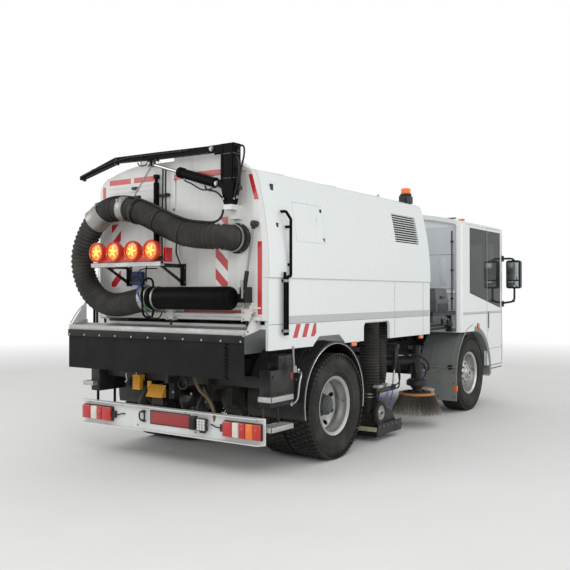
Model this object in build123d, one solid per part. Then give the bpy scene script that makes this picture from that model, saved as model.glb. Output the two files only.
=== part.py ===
from build123d import *
from math import cos, radians, sin
import os
os.makedirs("parts", exist_ok=True)

# Sizes are in millimetres. X runs forward from the rear axle, Y to the left, Z up from the ground.

# Driving sizes of the truck
wheelbase = 3900
front_overhang = 1420
rear_overhang = 1652
half_width = 1250
tyre_r = 538
tyre_w = 315
rim_r = 298
twin_pitch = 345
gap = 6
fit = 0.4
seat_gap = 0.3
bumper_x = wheelbase + front_overhang
shift_x = (rear_overhang - bumper_x) / 2
front_y = half_width - 215
rear_outer_y = half_width - 155
rear_inner_y = rear_outer_y - twin_pitch

# Chassis
rail_top = 1000
rail_bottom = 740
rail_y = 430
rail_t = 80
tip_x = -1050
tip_z = 1000
tip_pin_r = 30

# Hopper body
shell_t = 40
hopper_front = wheelbase - 1570
hopper_rear = -1190
corner_x = -950
left_step_y = half_width - 400
skirt_z = 1170
floor_z = 1400
crease_z = 1830
bulkhead_x = hopper_front - 1080
roof_z = 2975
shoulder_in = 122
shoulder_z = roof_z - 235
knee_in = 142
knee_z = roof_z - 189
edge_in = 190
edge_z = roof_z - 160
lean_in = 37
lean_z = roof_z - 635
gate_x = -1280
gate_front = hopper_rear - gap
gate_low = 1440
gate_left = left_step_y - 10
gate_hinge_x = -1160
gate_hinge_z = roof_z + 35

# Cab
cab_rear = wheelbase - 540
cab_front = wheelbase + 1390
cab_side = half_width - 5
cab_wall = 50
cab_low = 1140
cab_floor = 1145
floor_low = 560
roof_side = 2690
roof_mid = 2850
window_top = 2620
pillar_x = wheelbase + 515
door_front = wheelbase + 1160
door_low = 600
door_t = 48
glass_t = 6


def slab(x, y, z):
    """Box from pairs of limits."""
    size = (x[1] - x[0], y[1] - y[0], z[1] - z[0])
    mid = ((x[0] + x[1]) / 2, (y[0] + y[1]) / 2, (z[0] + z[1]) / 2)
    return Pos(*mid) * Box(*size)


def side_face(face, y0, y1):
    """Face drawn in X and Z, as thick as y0 to y1."""
    return extrude(Plane.XZ.offset(-y1) * face, amount=y1 - y0)


def side_plate(points, y0, y1):
    """Outline in X and Z, as thick as y0 to y1."""
    return side_face(make_face(Polyline(*points, close=True)), y0, y1)


def rear_plate(points, x0, x1):
    """Outline in Y and Z, as thick as x0 to x1."""
    face = make_face(Polyline(*points, close=True))
    return extrude(Plane.YZ.offset(x0) * face, amount=x1 - x0)


def top_plate(points, z0, z1):
    """Outline in X and Y, as thick as z0 to z1."""
    face = make_face(Polyline(*points, close=True))
    return extrude(Plane.XY.offset(z0) * face, amount=z1 - z0)


def rod(start, end, radius):
    """Round bar between two points."""
    line = Line(start, end)
    plane = Plane(origin=start, z_dir=line % 0)
    return extrude(plane * Circle(radius), amount=line.length)


def bent(points, bend, radius):
    """Round bar along a bent line."""
    path = FilletPolyline(*points, radius=bend)
    plane = Plane(origin=path @ 0, z_dir=path % 0)
    return sweep(plane * Circle(radius), path=path)


def across(x, z, y0, y1, radius):
    """Cylinder along Y."""
    return rod((x, y0, z), (x, y1, z), radius)


def upright(x, y, z0, z1, radius):
    """Cylinder along Z."""
    return Pos(x, y, (z0 + z1) / 2) * Cylinder(radius, z1 - z0)


def both(part):
    """A part and its mirror image on the other side."""
    return part + mirror(part, about=Plane.XZ)


def keep(name, part):
    """Write one piece, with the row's origin under the middle of the truck."""
    export_step(Pos(shift_x, 0, 0) * part, "parts/" + name + ".step")


# Chassis frame: two channels, each with its hangers, its pivot for the hopper and its stay for the beam
frame_rear = -1060
frame_front = wheelbase + 500
rail_web = 12
spring_reach = 640
front_reach = 440
hanger_half = 45
hanger_low = 560
pivot_out = rail_y + 130
beam_x = -1170
beam_half = half_width - 52
beam_low = 318
beam_top = 561
stay_y = 400
stay_t = 30
mount_half = 40
rail = slab((frame_rear, frame_front), (rail_y - rail_t, rail_y), (rail_bottom, rail_top))
rail -= slab((frame_rear - gap, frame_front + gap), (rail_y - rail_t - gap, rail_y - rail_web),
             (rail_bottom + rail_web, rail_top - rail_web))
for x, reach in ((0, spring_reach), (wheelbase, front_reach)):
    for end in (x - reach, x + reach):
        rail += slab((end - hanger_half, end + hanger_half), (rail_y - rail_t, rail_y), (hanger_low, rail_bottom))
rail += across(tip_x, tip_z, rail_y - rail_t, pivot_out, tip_pin_r)
rail += slab((tip_x - 20, tip_x + 60), (rail_y - rail_t, rail_y), (rail_top - 60, tip_z + 45))
rail += side_plate(((beam_x, beam_low + 40), (beam_x + 90, beam_low + 40), (beam_x + 220, rail_bottom + 30),
                    (beam_x + 120, rail_bottom + 30), (beam_x, beam_top + 40)), stay_y - stay_t, stay_y)
for x in (cab_rear + 120, frame_front - 200):
    rail += slab((x - mount_half, x + mount_half), (rail_y - rail_t, rail_y), (rail_top, cab_floor))
keep("chassis_frame", both(rail))

# Cross members between the channels, the rear one with the tow eye
cross_half = 40
cross_drop = 60
cross_y = rail_y - rail_web
tow_eye_x = -1125
tow_eye_z = 860
tow_eye_r = 25
tow_half = 60
members = Part()
for x in (-1000, -450, 560, 1500, wheelbase - 1400, wheelbase - 600, frame_front - 50):
    members += slab((x - cross_half, x + cross_half), (-cross_y, cross_y),
                    (rail_bottom + cross_drop, rail_top - cross_drop))
members += slab((tow_eye_x - tow_half, frame_rear + cross_half), (-tow_eye_r, tow_eye_r),
                (tow_eye_z - tow_half, tow_eye_z + tow_half))
members -= across(tow_eye_x, tow_eye_z, -tow_half, tow_half, tow_eye_r)
keep("cross_members", members)

# Bent springs, each clamped to its axle and held between two hangers
axle_gap = 75
spring_seat = tyre_r + axle_gap
spring_rise = 60
spring_end_t = 16
spring_mid_t = 42
spring_y = (rail_y - 75, rail_y - 5)
clamp_half = 60


def spring(x, reach):
    """Tapered leaf, thick over the axle, with its clamp."""
    half = reach - hanger_half - seat_gap
    ends_z = spring_seat + spring_rise
    lower = ThreePointArc((x - half, ends_z), (x, spring_seat + 3), (x + half, ends_z))
    upper = ThreePointArc((x + half, ends_z + spring_end_t), (x, spring_seat + spring_mid_t),
                          (x - half, ends_z + spring_end_t))
    outline = lower + Line(lower @ 1, upper @ 0) + upper + Line(upper @ 1, lower @ 0)
    leaf = side_face(make_face(outline), *spring_y)
    clamp = slab((x - clamp_half, x + clamp_half), spring_y, (spring_seat - 4, spring_seat + spring_mid_t + 14))
    return both(leaf + clamp)


# Front axle with its fists and kingpins
axle_half = 55
kingpin_y = front_y - 195
kingpin_r = 28
kingpin_half = 125
beam_drop = 70
fist_r = 55
fist_half = 60
fist_in = 125
groove_end = rail_t + 30
beam_end = kingpin_y - fist_in + gap
front_axle = slab((wheelbase - axle_half, wheelbase + axle_half), (-beam_end, beam_end),
                  (tyre_r - beam_drop, spring_seat))
for side in (-1, 1):
    groove = (wheelbase + side * 25, wheelbase + side * (axle_half + gap))
    front_axle -= slab((min(groove), max(groove)), (groove_end - rail_y, rail_y - groove_end),
                       (tyre_r - beam_drop + 30, spring_seat - 30))
front_axle += both(slab((wheelbase - fist_r, wheelbase + fist_r), (kingpin_y - fist_in, kingpin_y),
                        (tyre_r - fist_half, tyre_r + fist_half))
                   + upright(wheelbase, kingpin_y, tyre_r - fist_half, tyre_r + fist_half, fist_r)
                   + upright(wheelbase, kingpin_y, tyre_r - kingpin_half, tyre_r + kingpin_half, kingpin_r))
keep("front_axle", front_axle + spring(wheelbase, front_reach))

# Rear axle with its housing, the drive shaft's flange and the wheel stubs
stub_r = 45
tube_half = rear_inner_y - 120
housing_r = 190
rear_axle = across(0, tyre_r, -tube_half, tube_half, axle_gap - 2)
rear_axle += both(slab((-clamp_half, clamp_half), spring_y, (tyre_r, spring_seat)))
rear_axle += across(0, tyre_r, -rear_outer_y - 20, rear_outer_y + 20, stub_r)
housing = across(0, tyre_r, -170, 170, housing_r)
rear_axle += chamfer(housing.edges().filter_by(GeomType.CIRCLE), 60)
rear_axle += rod((60, 0, tyre_r), (330, 0, tyre_r + 60), 70)
rear_axle += rod((320, 0, tyre_r + 58), (345, 0, tyre_r + 64), 95)
keep("rear_axle", rear_axle + spring(0, spring_reach))

# Engine as one plain block, and the tank on the left with its straps and cap
keep("engine_block", slab((cab_rear - 20, wheelbase + 410), (-330, 330), (640, 1090)))
tank_x = (1450, 2450)
tank_y = (rail_y + 90, 1180)
tank_z = (520, 1080)
tank_r = 90
strap_t = 5


def tank_body(x, grow):
    """Rounded box along X."""
    block = slab(x, (tank_y[0] - grow, tank_y[1] + grow), (tank_z[0] - grow, tank_z[1] + grow))
    return fillet(block.edges().filter_by(Axis.X), tank_r + grow)


tank = tank_body(tank_x, 0)
for x in (tank_x[0] + 180, tank_x[1] - 180):
    tank += tank_body((x - 30, x + 30), strap_t)
    tank += slab((x - 30, x + 30), (rail_y, tank_y[0] + 2), (tank_z[0] + 80, tank_z[1] - 120))
tank += upright(tank_x[1] - 400, tank_y[1] - 130, tank_z[1] - 2, tank_z[1] + 30, 50)
keep("fuel_tank", tank)

# Cab shell
inner_arch_r = tyre_r + 152
outer_arch_r = tyre_r + 67
roof_rise = roof_mid - roof_side
roof_r = (cab_side ** 2 + roof_rise ** 2) / (2 * roof_rise)
roof_edge_r = 110
brow_rise = 50
brow_x = cab_front - 302
screen_head_x = cab_front - 55
screen_head_z = 2700
screen_foot_z = 1300
cab_front_r = 220
cab_rear_r = 90
edge_out = 3
edge_turn = radians(75)


def cab_crown(inset):
    """Roof and side section, with its edges rounded."""
    side = cab_side - inset + edge_out
    edge_r = roof_edge_r - inset
    end_y = side - edge_r * (1 - cos(edge_turn))
    end_z = roof_mid - inset - end_y ** 2 / (2 * roof_r)
    mid_z = end_z - edge_r * sin(edge_turn)
    half_turn = edge_turn / 2
    corner = ThreePointArc((side, mid_z), (side - edge_r * (1 - cos(half_turn)), mid_z + edge_r * sin(half_turn)),
                           (end_y, end_z))
    roof = ThreePointArc((end_y, end_z), (0, roof_mid - inset), (-end_y, end_z))
    far = mirror(corner, about=Plane.YZ)
    base = Polyline((side, mid_z), (side, 0), (-side, 0), (-side, mid_z))
    face = make_face(corner + roof + far + base)
    return extrude(Plane.YZ.offset(cab_rear - 10 * gap) * face, amount=cab_front - cab_rear + 20 * gap)


def cab_solid(inset, low, rear):
    """Cab volume drawn in by an inset, from a rear plane forwards."""
    side = side_plate(((rear, low), (rear, roof_mid + brow_rise), (brow_x - inset, roof_mid + brow_rise),
                       (screen_head_x - inset, screen_head_z - inset), (cab_front - inset, screen_foot_z),
                       (cab_front - inset, low)), -half_width, half_width)
    edge = cab_side - inset
    plan = top_plate(((rear, -edge), (cab_front - inset, -edge), (cab_front - inset, edge), (rear, edge)),
                     0, roof_mid + 2 * brow_rise)
    front_edges = plan.edges().filter_by(Axis.Z).sort_by(Axis.X)[-2:]
    plan = fillet(front_edges, cab_front_r - inset)
    if rear == cab_rear:
        rear_edges = plan.edges().filter_by(Axis.Z).sort_by(Axis.X)[:2]
        plan = fillet(rear_edges, cab_rear_r)
    return side & plan & cab_crown(inset)


# The rear wall stands in a rim, and the rear floor over the engine, with the low step well in front of it
rim_w = 62
rim_depth = 70
shell_low = door_low - 60
rear_wall_x = cab_rear + rim_depth + cab_wall
step_x = wheelbase + 750
cab = cab_solid(0, shell_low, cab_rear)
cab -= cab_solid(cab_wall, floor_low + 40, rear_wall_x)
cab -= cab_solid(rim_w, cab_low + rim_w, cab_rear - 5 * gap) \
    & slab((cab_rear - 5 * gap, cab_rear + rim_depth), (-cab_side, cab_side), (0, roof_mid))
cab += cab_solid(cab_wall - 1, floor_low, rear_wall_x - 1) & slab((cab_rear, step_x), (-cab_side, cab_side),
                                                                  (floor_low, cab_floor + cab_wall - 5))
skin_y = cab_side - cab_wall
wheel_cut = across(wheelbase, tyre_r, -skin_y, skin_y, inner_arch_r)
wheel_cut += across(wheelbase, tyre_r, -cab_side - gap, cab_side + gap, outer_arch_r)
cab -= wheel_cut & slab((cab_rear - 10, cab_front), (-cab_side - gap, cab_side + gap), (0, cab_floor))
cab -= slab((cab_rear - 10, wheelbase), (-cab_side - gap, cab_side + gap), (0, cab_low))
cab -= slab((cab_rear - 10, frame_front + gap), (-rail_y - 90, rail_y + 90), (0, cab_floor))

# Windows: each pane lies in a rebate round its opening
frame_w = 45
screen_low = 1330
screen_top = 2560
screen_half = cab_side - 115
quarter_rear = cab_rear + 350
pane_edge = 12
pane_gap = 2
sill_rear = 1690
sill_slope = 0.177


def sill(x):
    """Height of the windows' sill, which drops forwards."""
    return sill_rear - (x - quarter_rear) * sill_slope


def pane_outline(x0, x1, grow):
    """Side window between two stations, grown or drawn in on every side."""
    low_rear = (x0 - grow, sill(x0) - grow)
    low_front = (x1 + grow, sill(x1) - grow)
    return (low_rear, low_front, (x1 + grow, window_top + grow), (x0 - grow, window_top + grow))


def side_window(x0, x1):
    """Cutting volume of a side window, its rebate and its opening."""
    rebate = side_plate(pane_outline(x0, x1, pane_gap), cab_side - glass_t - seat_gap, cab_side + gap)
    return rebate + side_plate(pane_outline(x0, x1, -frame_w), cab_side - 2 * cab_wall, cab_side)


def side_pane(x0, x1):
    """Pane of a side window, flush with the skin."""
    return side_plate(pane_outline(x0, x1, 0), cab_side - glass_t, cab_side)


def screen_skin(thick, grow):
    """Windscreen zone of the cab's skin."""
    zone = slab((cab_front - cab_front_r, cab_front + gap), (-screen_half - grow, screen_half + grow),
                (screen_low - grow, screen_top + grow))
    return zone & (cab_solid(0, floor_low, cab_rear) - cab_solid(thick, 0, cab_rear + cab_wall))


cab -= screen_skin(glass_t + seat_gap, pane_gap)
cab -= slab((cab_front - 190, cab_front + gap), (frame_w - screen_half, screen_half - frame_w),
            (screen_low + frame_w, screen_top - frame_w))
quarter_front = pillar_x - pane_edge
cab -= both(side_window(quarter_rear, quarter_front))
cab -= both(slab((pillar_x, door_front), (cab_side - 2 * cab_wall, cab_side + gap), (door_low, window_top + 40)))

# Door hinges: a pin in two ears at each height
hinge_x = door_front - gap
hinge_r = 12
door_pin_r = 6
hinge_half = 70
ear_t = 12
hinge_heights = (950, 2050)
for z in hinge_heights:
    cab -= both(upright(hinge_x, cab_side, z - hinge_half, z + hinge_half, hinge_r + gap))
    cab += both(upright(hinge_x, cab_side, z - hinge_half + 5, z + hinge_half - 5, door_pin_r))
    for end in (z - 60, z + 60 - ear_t):
        cab += both(slab((hinge_x - 10, hinge_x + 40), (cab_side - 10, cab_side + 10), (end, end + ear_t)))
keep("cab_shell", cab)
keep("windscreen", screen_skin(glass_t, 0))
keep("quarter_glass", both(side_pane(quarter_rear, quarter_front)))

# Doors, hinged at their front edges, with a bar handle in a pocket
door_pane = (pillar_x + pane_edge, door_front - 60)
handle_x = pillar_x + 62
handle_z = (1170, 1400)
door = slab((pillar_x + gap, door_front - gap), (cab_side - door_t, cab_side), (door_low + gap, window_top + 34))
door -= side_window(*door_pane)
for z in hinge_heights:
    door -= slab((hinge_x - 20, hinge_x + gap), (cab_side - 20, cab_side + 20), (z - hinge_half, z + hinge_half))
    door += upright(hinge_x, cab_side, z - 45, z + 45, hinge_r)
    door += slab((hinge_x - 30, hinge_x), (cab_side - 30, cab_side - 4), (z - 45, z + 45))
    door -= upright(hinge_x, cab_side, z - 100, z + 100, door_pin_r + fit)
door -= slab((handle_x - 18, handle_x + 18), (cab_side - 20, cab_side + gap), handle_z)
door += rod((handle_x, cab_side - 8, handle_z[0] - gap), (handle_x, cab_side - 8, handle_z[1] + gap), 7)
for side, name in ((1, "left"), (-1, "right")):
    leaf = door
    pane = side_pane(*door_pane)
    if side < 0:
        leaf = mirror(leaf, about=Plane.XZ)
        pane = mirror(pane, about=Plane.XZ)
    keep("door_" + name, leaf)
    keep("door_glass_" + name, pane)

# Seats: pedestal, cushion, raked back and head rest
seat_x = wheelbase + 180
seat_floor = cab_floor + cab_wall - 5
seat_y = 680
seat_half = 245
cushion_top = seat_floor + 330
seat = slab((seat_x - 150, seat_x + 220), (seat_y - 180, seat_y + 180), (seat_floor, seat_floor + 190))
cushion = slab((seat_x - 190, seat_x + 290), (seat_y - seat_half, seat_y + seat_half),
               (seat_floor + 180, cushion_top))
seat += fillet(cushion.edges().filter_by(Axis.Y), 45)
back = side_plate(((seat_x - 120, cushion_top - 60), (seat_x - 240, seat_floor + 900),
                   (seat_x - 320, seat_floor + 890), (seat_x - 250, cushion_top - 80)),
                  seat_y - seat_half + 10, seat_y + seat_half - 10)
seat += chamfer(back.edges().filter_by(Axis.Y).sort_by(Axis.Z)[-2:], 25)
seat += slab((seat_x - 310, seat_x - 250), (seat_y - 130, seat_y + 130), (seat_floor + 880, seat_floor + 1080))
keep("cab_seats", both(seat))

# Dashboard with the steering wheel, on its kick panel
dash_half = cab_side - 245
dash_x = cab_front - 110
kick_top = 1150
dash = side_plate(((dash_x - 240, kick_top), (dash_x, kick_top), (dash_x, 1330), (dash_x - 210, 1340),
                   (dash_x - 300, 1280), (dash_x - 290, 1170)), -dash_half, dash_half)
wheel_mid = (wheelbase + 800, seat_y, 1540)
wheel_tilt = Location(wheel_mid, (0, -40, 0))
dash += slab((dash_x - 290, dash_x - 120), (seat_y - 220, seat_y + 220), (1300, 1385))
dash += rod((dash_x - 220, seat_y, 1230), wheel_mid, 30)
dash += wheel_tilt * Torus(215, 16)
dash += wheel_tilt * Box(24, 430, 20)
kick_panel = slab((dash_x - 230, dash_x), (-dash_half, dash_half), (floor_low + 40, kick_top - seat_gap))
keep("dashboard", dash + kick_panel)

# Front bumper with its nose plate, air slots and lamps
bumper_low = 440
bumper_top = shell_low
bumper_rear = pillar_x + 120
nose_top = 960
nose_r = cab_front_r + 10
bumper_wall = 120
bumper = Part()
for x, top in ((bumper_rear, bumper_top), (cab_front - 210, nose_top)):
    block = slab((x, bumper_x), (-cab_side, cab_side), (bumper_low, top))
    bumper += fillet(block.edges().filter_by(Axis.Z).sort_by(Axis.X)[-2:], nose_r)
bumper -= cab_solid(-1, bumper_top, cab_rear)
bumper -= slab((bumper_rear - gap, bumper_x - bumper_wall), (bumper_wall + 5 - cab_side, cab_side - bumper_wall - 5),
               (0, bumper_top - 40))
slot_half = 420
slot_h = 24
for k in range(4):
    z = 800 + k * 36
    bumper -= slab((bumper_x - 12, bumper_x + gap), (-slot_half, slot_half), (z, z + slot_h))
lamp_z = (640, 800)
lamp_y = (760, 1060)
lamp_back = cab_front + 1
bumper -= both(slab((bumper_x - 80, bumper_x + gap), lamp_y, lamp_z))
keep("front_bumper", bumper)
keep("headlamps", both(slab((lamp_back + 1, bumper_x - 8), lamp_y, lamp_z)))

# Mirrors on arms at the front corners
mirror_x = cab_front - 130
mirror_y = cab_side + 175
mirror_foot_y = cab_side - 70
arm_z = (1520, 2230)
mirror_arm = bent(((mirror_x - 40, mirror_foot_y, arm_z[1]), (mirror_x, mirror_y, arm_z[1]),
                   (mirror_x, mirror_y, arm_z[0] + 40), (mirror_x - 40, mirror_foot_y, arm_z[0])), 60, 16)
for z in arm_z:
    mirror_arm += slab((mirror_x - 80, mirror_x - 10), (mirror_foot_y, cab_side + 15), (z - 45, z + 45))
mirror_head = slab((mirror_x - 65, mirror_x + 55), (mirror_y - 110, mirror_y + 110), (1760, 2200))
mirror_head = fillet(mirror_head.edges().filter_by(Axis.X), 40)
mirror_head = chamfer(mirror_head.faces().sort_by(Axis.X)[-1].edges(), 30)
keep("mirrors", both(mirror_arm + mirror_head) - cab_solid(0, shell_low, cab_rear))

# Front wheel housings, with two ribs round their backs
house_r = tyre_r + 134
house_t = 18
house_in = front_y - 335
house_out = cab_side - 2
rib_t = 8


def house_arch(y0, y1, thick):
    """Quarter ring behind the wheel."""
    arch = across(wheelbase, tyre_r, y0, y1, house_r + thick)
    arch -= across(wheelbase, tyre_r, y0 - gap, y1 + gap, house_r)
    return arch & slab((wheelbase - house_r - 2 * house_t, wheelbase), (y0, y1), (tyre_r, cab_low - 4))


house = house_arch(house_in, house_out, house_t)
for y in (house_in + 150, house_out - 90):
    house += house_arch(y, y + 30, house_t + rib_t)
house += slab((wheelbase - house_r - house_t, wheelbase - house_r), (house_in, house_out), (210, tyre_r + 2))
house += slab((cab_rear + 35, cab_rear + 85), (rail_y, house_in + 4), (880, 930))
house += slab((cab_rear + 35, cab_rear + 85), (house_in - 20, house_in + 30), (880, 1000))
keep("wheel_housings", both(house))

# Walkway and equipment box behind the cab
walk_z = (floor_z - 15, floor_z + 30)
walk_x = (hopper_front + 230, cab_rear - 20)
walk = slab(walk_x, (70 - half_width, half_width - 70), walk_z)
for x in (walk_x[0] + 170, walk_x[1] - 70):
    walk += both(slab((x - 30, x + 30), (rail_y - rail_t, rail_y), (rail_top, walk_z[0] + 2)))
keep("walkway", walk)
case_x = (walk_x[0] + 190, walk_x[1] - 160)
case_y = (100 - half_width, -640)
case_top = walk_z[1] + 315
lid_z = walk_z[1] + 160
case = slab((case_x[0] + 10, case_x[1] - 10), (case_y[0] + 10, case_y[1] - 10), (walk_z[1], lid_z))
case += slab(case_x, case_y, (lid_z - 25, lid_z))
lid = loft([Plane.XY.offset(lid_z - 1) * Pos((case_x[0] + case_x[1]) / 2, (case_y[0] + case_y[1]) / 2)
            * Rectangle(case_x[1] - case_x[0] - 20, case_y[1] - case_y[0] - 20),
            Plane.XY.offset(case_top) * Pos((case_x[0] + case_x[1]) / 2, (case_y[0] + case_y[1]) / 2)
            * Rectangle(case_x[1] - case_x[0] - 60, case_y[1] - case_y[0] - 60)])
keep("equipment_box", case + lid)

# Rear fenders: an arch with a rolled edge, hung from the rails
fender_x = -30
fender_z = tyre_r + 62
fender_r = tyre_r + 47
fender_t = 14
fender_in = rear_inner_y - 170
fender_low = 470
fender_edge = 22


def fender_arch(y0, y1, inner_r):
    """Half ring over the wheels."""
    arch = across(fender_x, fender_z, y0, y1, fender_r + fender_t)
    arch -= across(fender_x, fender_z, y0 - gap, y1 + gap, inner_r)
    return arch & slab((fender_x - fender_r - fender_t, fender_x + fender_r + fender_t), (y0, y1),
                       (fender_low, fender_z + fender_r + fender_t))


fender = fender_arch(fender_in, half_width, fender_r)
fender += fender_arch(half_width - fender_edge, half_width, fender_r - 7)
fender += slab((-60, 0), (rail_y, fender_in + 2), (940, 1000))
fender += slab((-60, 0), (fender_in - 30, fender_in + 2), (940, fender_z + fender_r + 5))
keep("rear_fenders", both(fender))

# Black side panels behind the rear wheels with their steps of grating
panel_x = (-1090, -700)
panel_y = (half_width - 190, half_width - 60)
panel_t = 45
step_out = (-1150, -790)
step_y = (half_width - 160, half_width - 5)
step_heights = (430, 700)
slot_pitch = 48
slot_w = 34
steps_top = 640
panel = slab(panel_x, panel_y, (steps_top, 980)) + slab((panel_x[0] + 130, panel_x[1]), panel_y, (975, 1110))
panel += slab((-1000, -940), (rail_y, panel_y[0] + 2), (800, 900))


def grating(z):
    """Tread with a row of slots across."""
    tread = slab(step_out, step_y, (z, z + panel_t))
    for k in range(7):
        x = step_out[0] + 15 + k * slot_pitch
        tread -= slab((x, x + slot_w), (step_y[0] + 12, step_y[1] - 12), (z - gap, z + panel_t + gap))
    return tread


upper_tread = grating(step_heights[1]) - slab(
    (panel_x[0] - seat_gap, panel_x[1]), (panel_y[0], panel_y[1] + seat_gap), (steps_top, 980))
lower_tread = grating(step_heights[0])
for x in (step_out[0] + 60, step_out[1] - 60):
    lower_tread += slab((x, x + 30), (step_y[0] + 2, step_y[0] + 14),
                        (step_heights[0] + 40, steps_top - seat_gap))
keep("side_steps", both(panel) + both(upper_tread) + both(lower_tread))

# Underrun beam, an open channel with chamfered flange ends
web_t = 8
flange = 75
beam = slab((beam_x - web_t, beam_x), (-beam_half, beam_half), (beam_low, beam_top))
for z in (beam_low, beam_top - web_t):
    beam += top_plate(((beam_x - 1, -beam_half), (beam_x - 1, beam_half), (beam_x - flange, beam_half - 45),
                       (beam_x - flange, 45 - beam_half)), z, z + web_t)
keep("underrun_beam", beam)
beam_face = beam_x - web_t
tail_y = (beam_half - 455, beam_half - 28)
tail_z = (366, 505)
tail = slab((beam_face - 62, beam_face), tail_y, tail_z)
for k in range(1, 5):
    y = tail_y[0] + k * (tail_y[1] - tail_y[0]) / 5
    tail -= slab((beam_face - 62 - gap, beam_face - 58), (y - 2, y + 2), (tail_z[0] + 8, tail_z[1] - 8))
keep("tail_lamps", both(tail))
keep("number_plate", slab((beam_face - 12, beam_face), (-310, 215), (384, 520)))

# Wedge chocks and their ribbed holder at the end of the frame
chock_rear = frame_rear - 70
chock = side_plate(((chock_rear, 640), (frame_rear, 640), (frame_rear, 760)), 120, 330)
chock += slab((frame_rear - 12, frame_rear), (320, stay_y - stay_t), (700, 790))
block = slab((chock_rear, frame_rear), (stay_y + 20, stay_y + 120), (700, 850))
for k in range(4):
    z = 724 + k * 30
    block -= slab((chock_rear - gap, chock_rear + 8), (stay_y, stay_y + 120 + gap), (z, z + 10))
keep("wheel_chocks", chock + block)

# Suction nozzle on the right between the axles: a sloped hood on a plate, with its neck and arms
nozzle_x = (985, 1570)
nozzle_y = (60 - half_width, -420)
nozzle_low = 130
plate_t = 30
nozzle_top = 330
port_x = 1100
port_y = 220 - half_width
port_r = 108
neck_top = 480
neck_ring = 14
castor_x = 960
castor_y = nozzle_y[0] - 50
castor_z = 345
castor_r = 132
castor_w = 46
castor_pin_r = 18
hood_low = nozzle_low + plate_t - 2
nozzle = slab(nozzle_x, nozzle_y, (nozzle_low, nozzle_low + plate_t))
nozzle += side_plate(((nozzle_x[0] + 3, hood_low), (nozzle_x[1] - 30, hood_low), (nozzle_x[1] - 190, nozzle_top),
                      (nozzle_x[0] + 3, nozzle_top)), nozzle_y[0] + 30, nozzle_y[1] - 40)
nozzle += upright(port_x, port_y, nozzle_top - 2, neck_top, port_r)
nozzle += upright(port_x, port_y, neck_top - 40, neck_top - 40 + neck_ring, port_r + 8)
nozzle += slab((1280, 1340), (-560, -500), (nozzle_top - 2, rail_bottom + 60))
nozzle += slab((1280, 1340), (-560, -rail_y), (rail_bottom + 10, rail_bottom + 60))
nozzle += across(castor_x, castor_z, castor_y - castor_w / 2 - 8, nozzle_y[0] - 10, castor_pin_r)
fork_y = (nozzle_y[0] - 12, nozzle_y[0] + 34)
nozzle += slab((castor_x - 22, nozzle_x[0] + 35), fork_y, (castor_z - 30, castor_z + 30))
nozzle += slab((nozzle_x[0] + 5, nozzle_x[0] + 35), fork_y, (200, castor_z + 30))
keep("suction_nozzle", nozzle)
hose_top = floor_z - shell_t - gap
duct_r = port_r + 10
side_duct_x = port_x + 240
side_duct_y = port_y - 10
side_duct_r = 82
duct = upright(port_x, port_y, neck_top + seat_gap, hose_top, duct_r)
duct += bent(((side_duct_x, side_duct_y, hose_top), (side_duct_x, side_duct_y, neck_top + 160),
              (port_x + 40, port_y, neck_top + 80)), 120, side_duct_r)
keep("suction_hose", duct)

# Castor beside the nozzle
castor_rim = castor_r * 0.62
nozzle_wheel = across(castor_x, castor_z, castor_y - castor_w / 2, castor_y + castor_w / 2, castor_r)
for side in (-1, 1):
    face_y = castor_y + side * castor_w / 2
    nozzle_wheel -= across(castor_x, castor_z, face_y - 8, face_y + 8, castor_rim) \
        - across(castor_x, castor_z, face_y - 10, face_y + 10, castor_pin_r + 16)
nozzle_wheel -= across(castor_x, castor_z, castor_y - castor_w, castor_y + castor_w, castor_pin_r + fit)
keep("nozzle_wheel", nozzle_wheel)

# Cross brush under the frame
roller_x = 795
roller_z = 305
roller_r = 160
roller_half = 820
roller_pin_r = 27
roller_out = roller_half + 45
roller = across(roller_x, roller_z, -roller_half, roller_half, roller_r)
roller -= across(roller_x, roller_z, -roller_out, roller_out, roller_pin_r + fit)
keep("roller_brush", roller)
yoke_top = (500, 560)
yoke_half = 35
roller_frame = across(roller_x, roller_z, -roller_out, roller_out, roller_pin_r)
roller_frame += both(side_plate(((roller_x - yoke_half, roller_z - 45), (roller_x + yoke_half, roller_z - 45),
                                 (roller_x + yoke_half, yoke_top[1]), (roller_x - yoke_half, yoke_top[1])),
                                roller_half + 12, roller_half + 42))
roller_frame += slab((roller_x - yoke_half, roller_x + yoke_half), (-roller_half - 42, roller_half + 42),
                     yoke_top)
roller_frame += both(slab((roller_x - 30, roller_x + 30), (rail_y - 70, rail_y - 10),
                          (yoke_top[1] - 5, rail_bottom)))
keep("roller_frame", roller_frame)

# Side brush: bristle cone, plate and boss
brush_x = 2280
brush_y = 170 - half_width
brush_low = 150
brush_top = 400
brush_tip_r = 330
brush_plate_r = 225
brush_plate_t = 26
spindle_r = 24
bristles = Cone(brush_tip_r, brush_plate_r - 15, brush_top - brush_low)
side_brush = Pos(brush_x, brush_y, (brush_low + brush_top) / 2) * bristles
side_brush += upright(brush_x, brush_y, brush_top - 1, brush_top + brush_plate_t - 1, brush_plate_r)
side_brush += upright(brush_x, brush_y, brush_top + 20, brush_top + 70, 60)
side_brush -= upright(brush_x, brush_y, brush_top - 10, brush_top + 90, spindle_r + fit)
keep("side_brush", side_brush)

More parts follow.
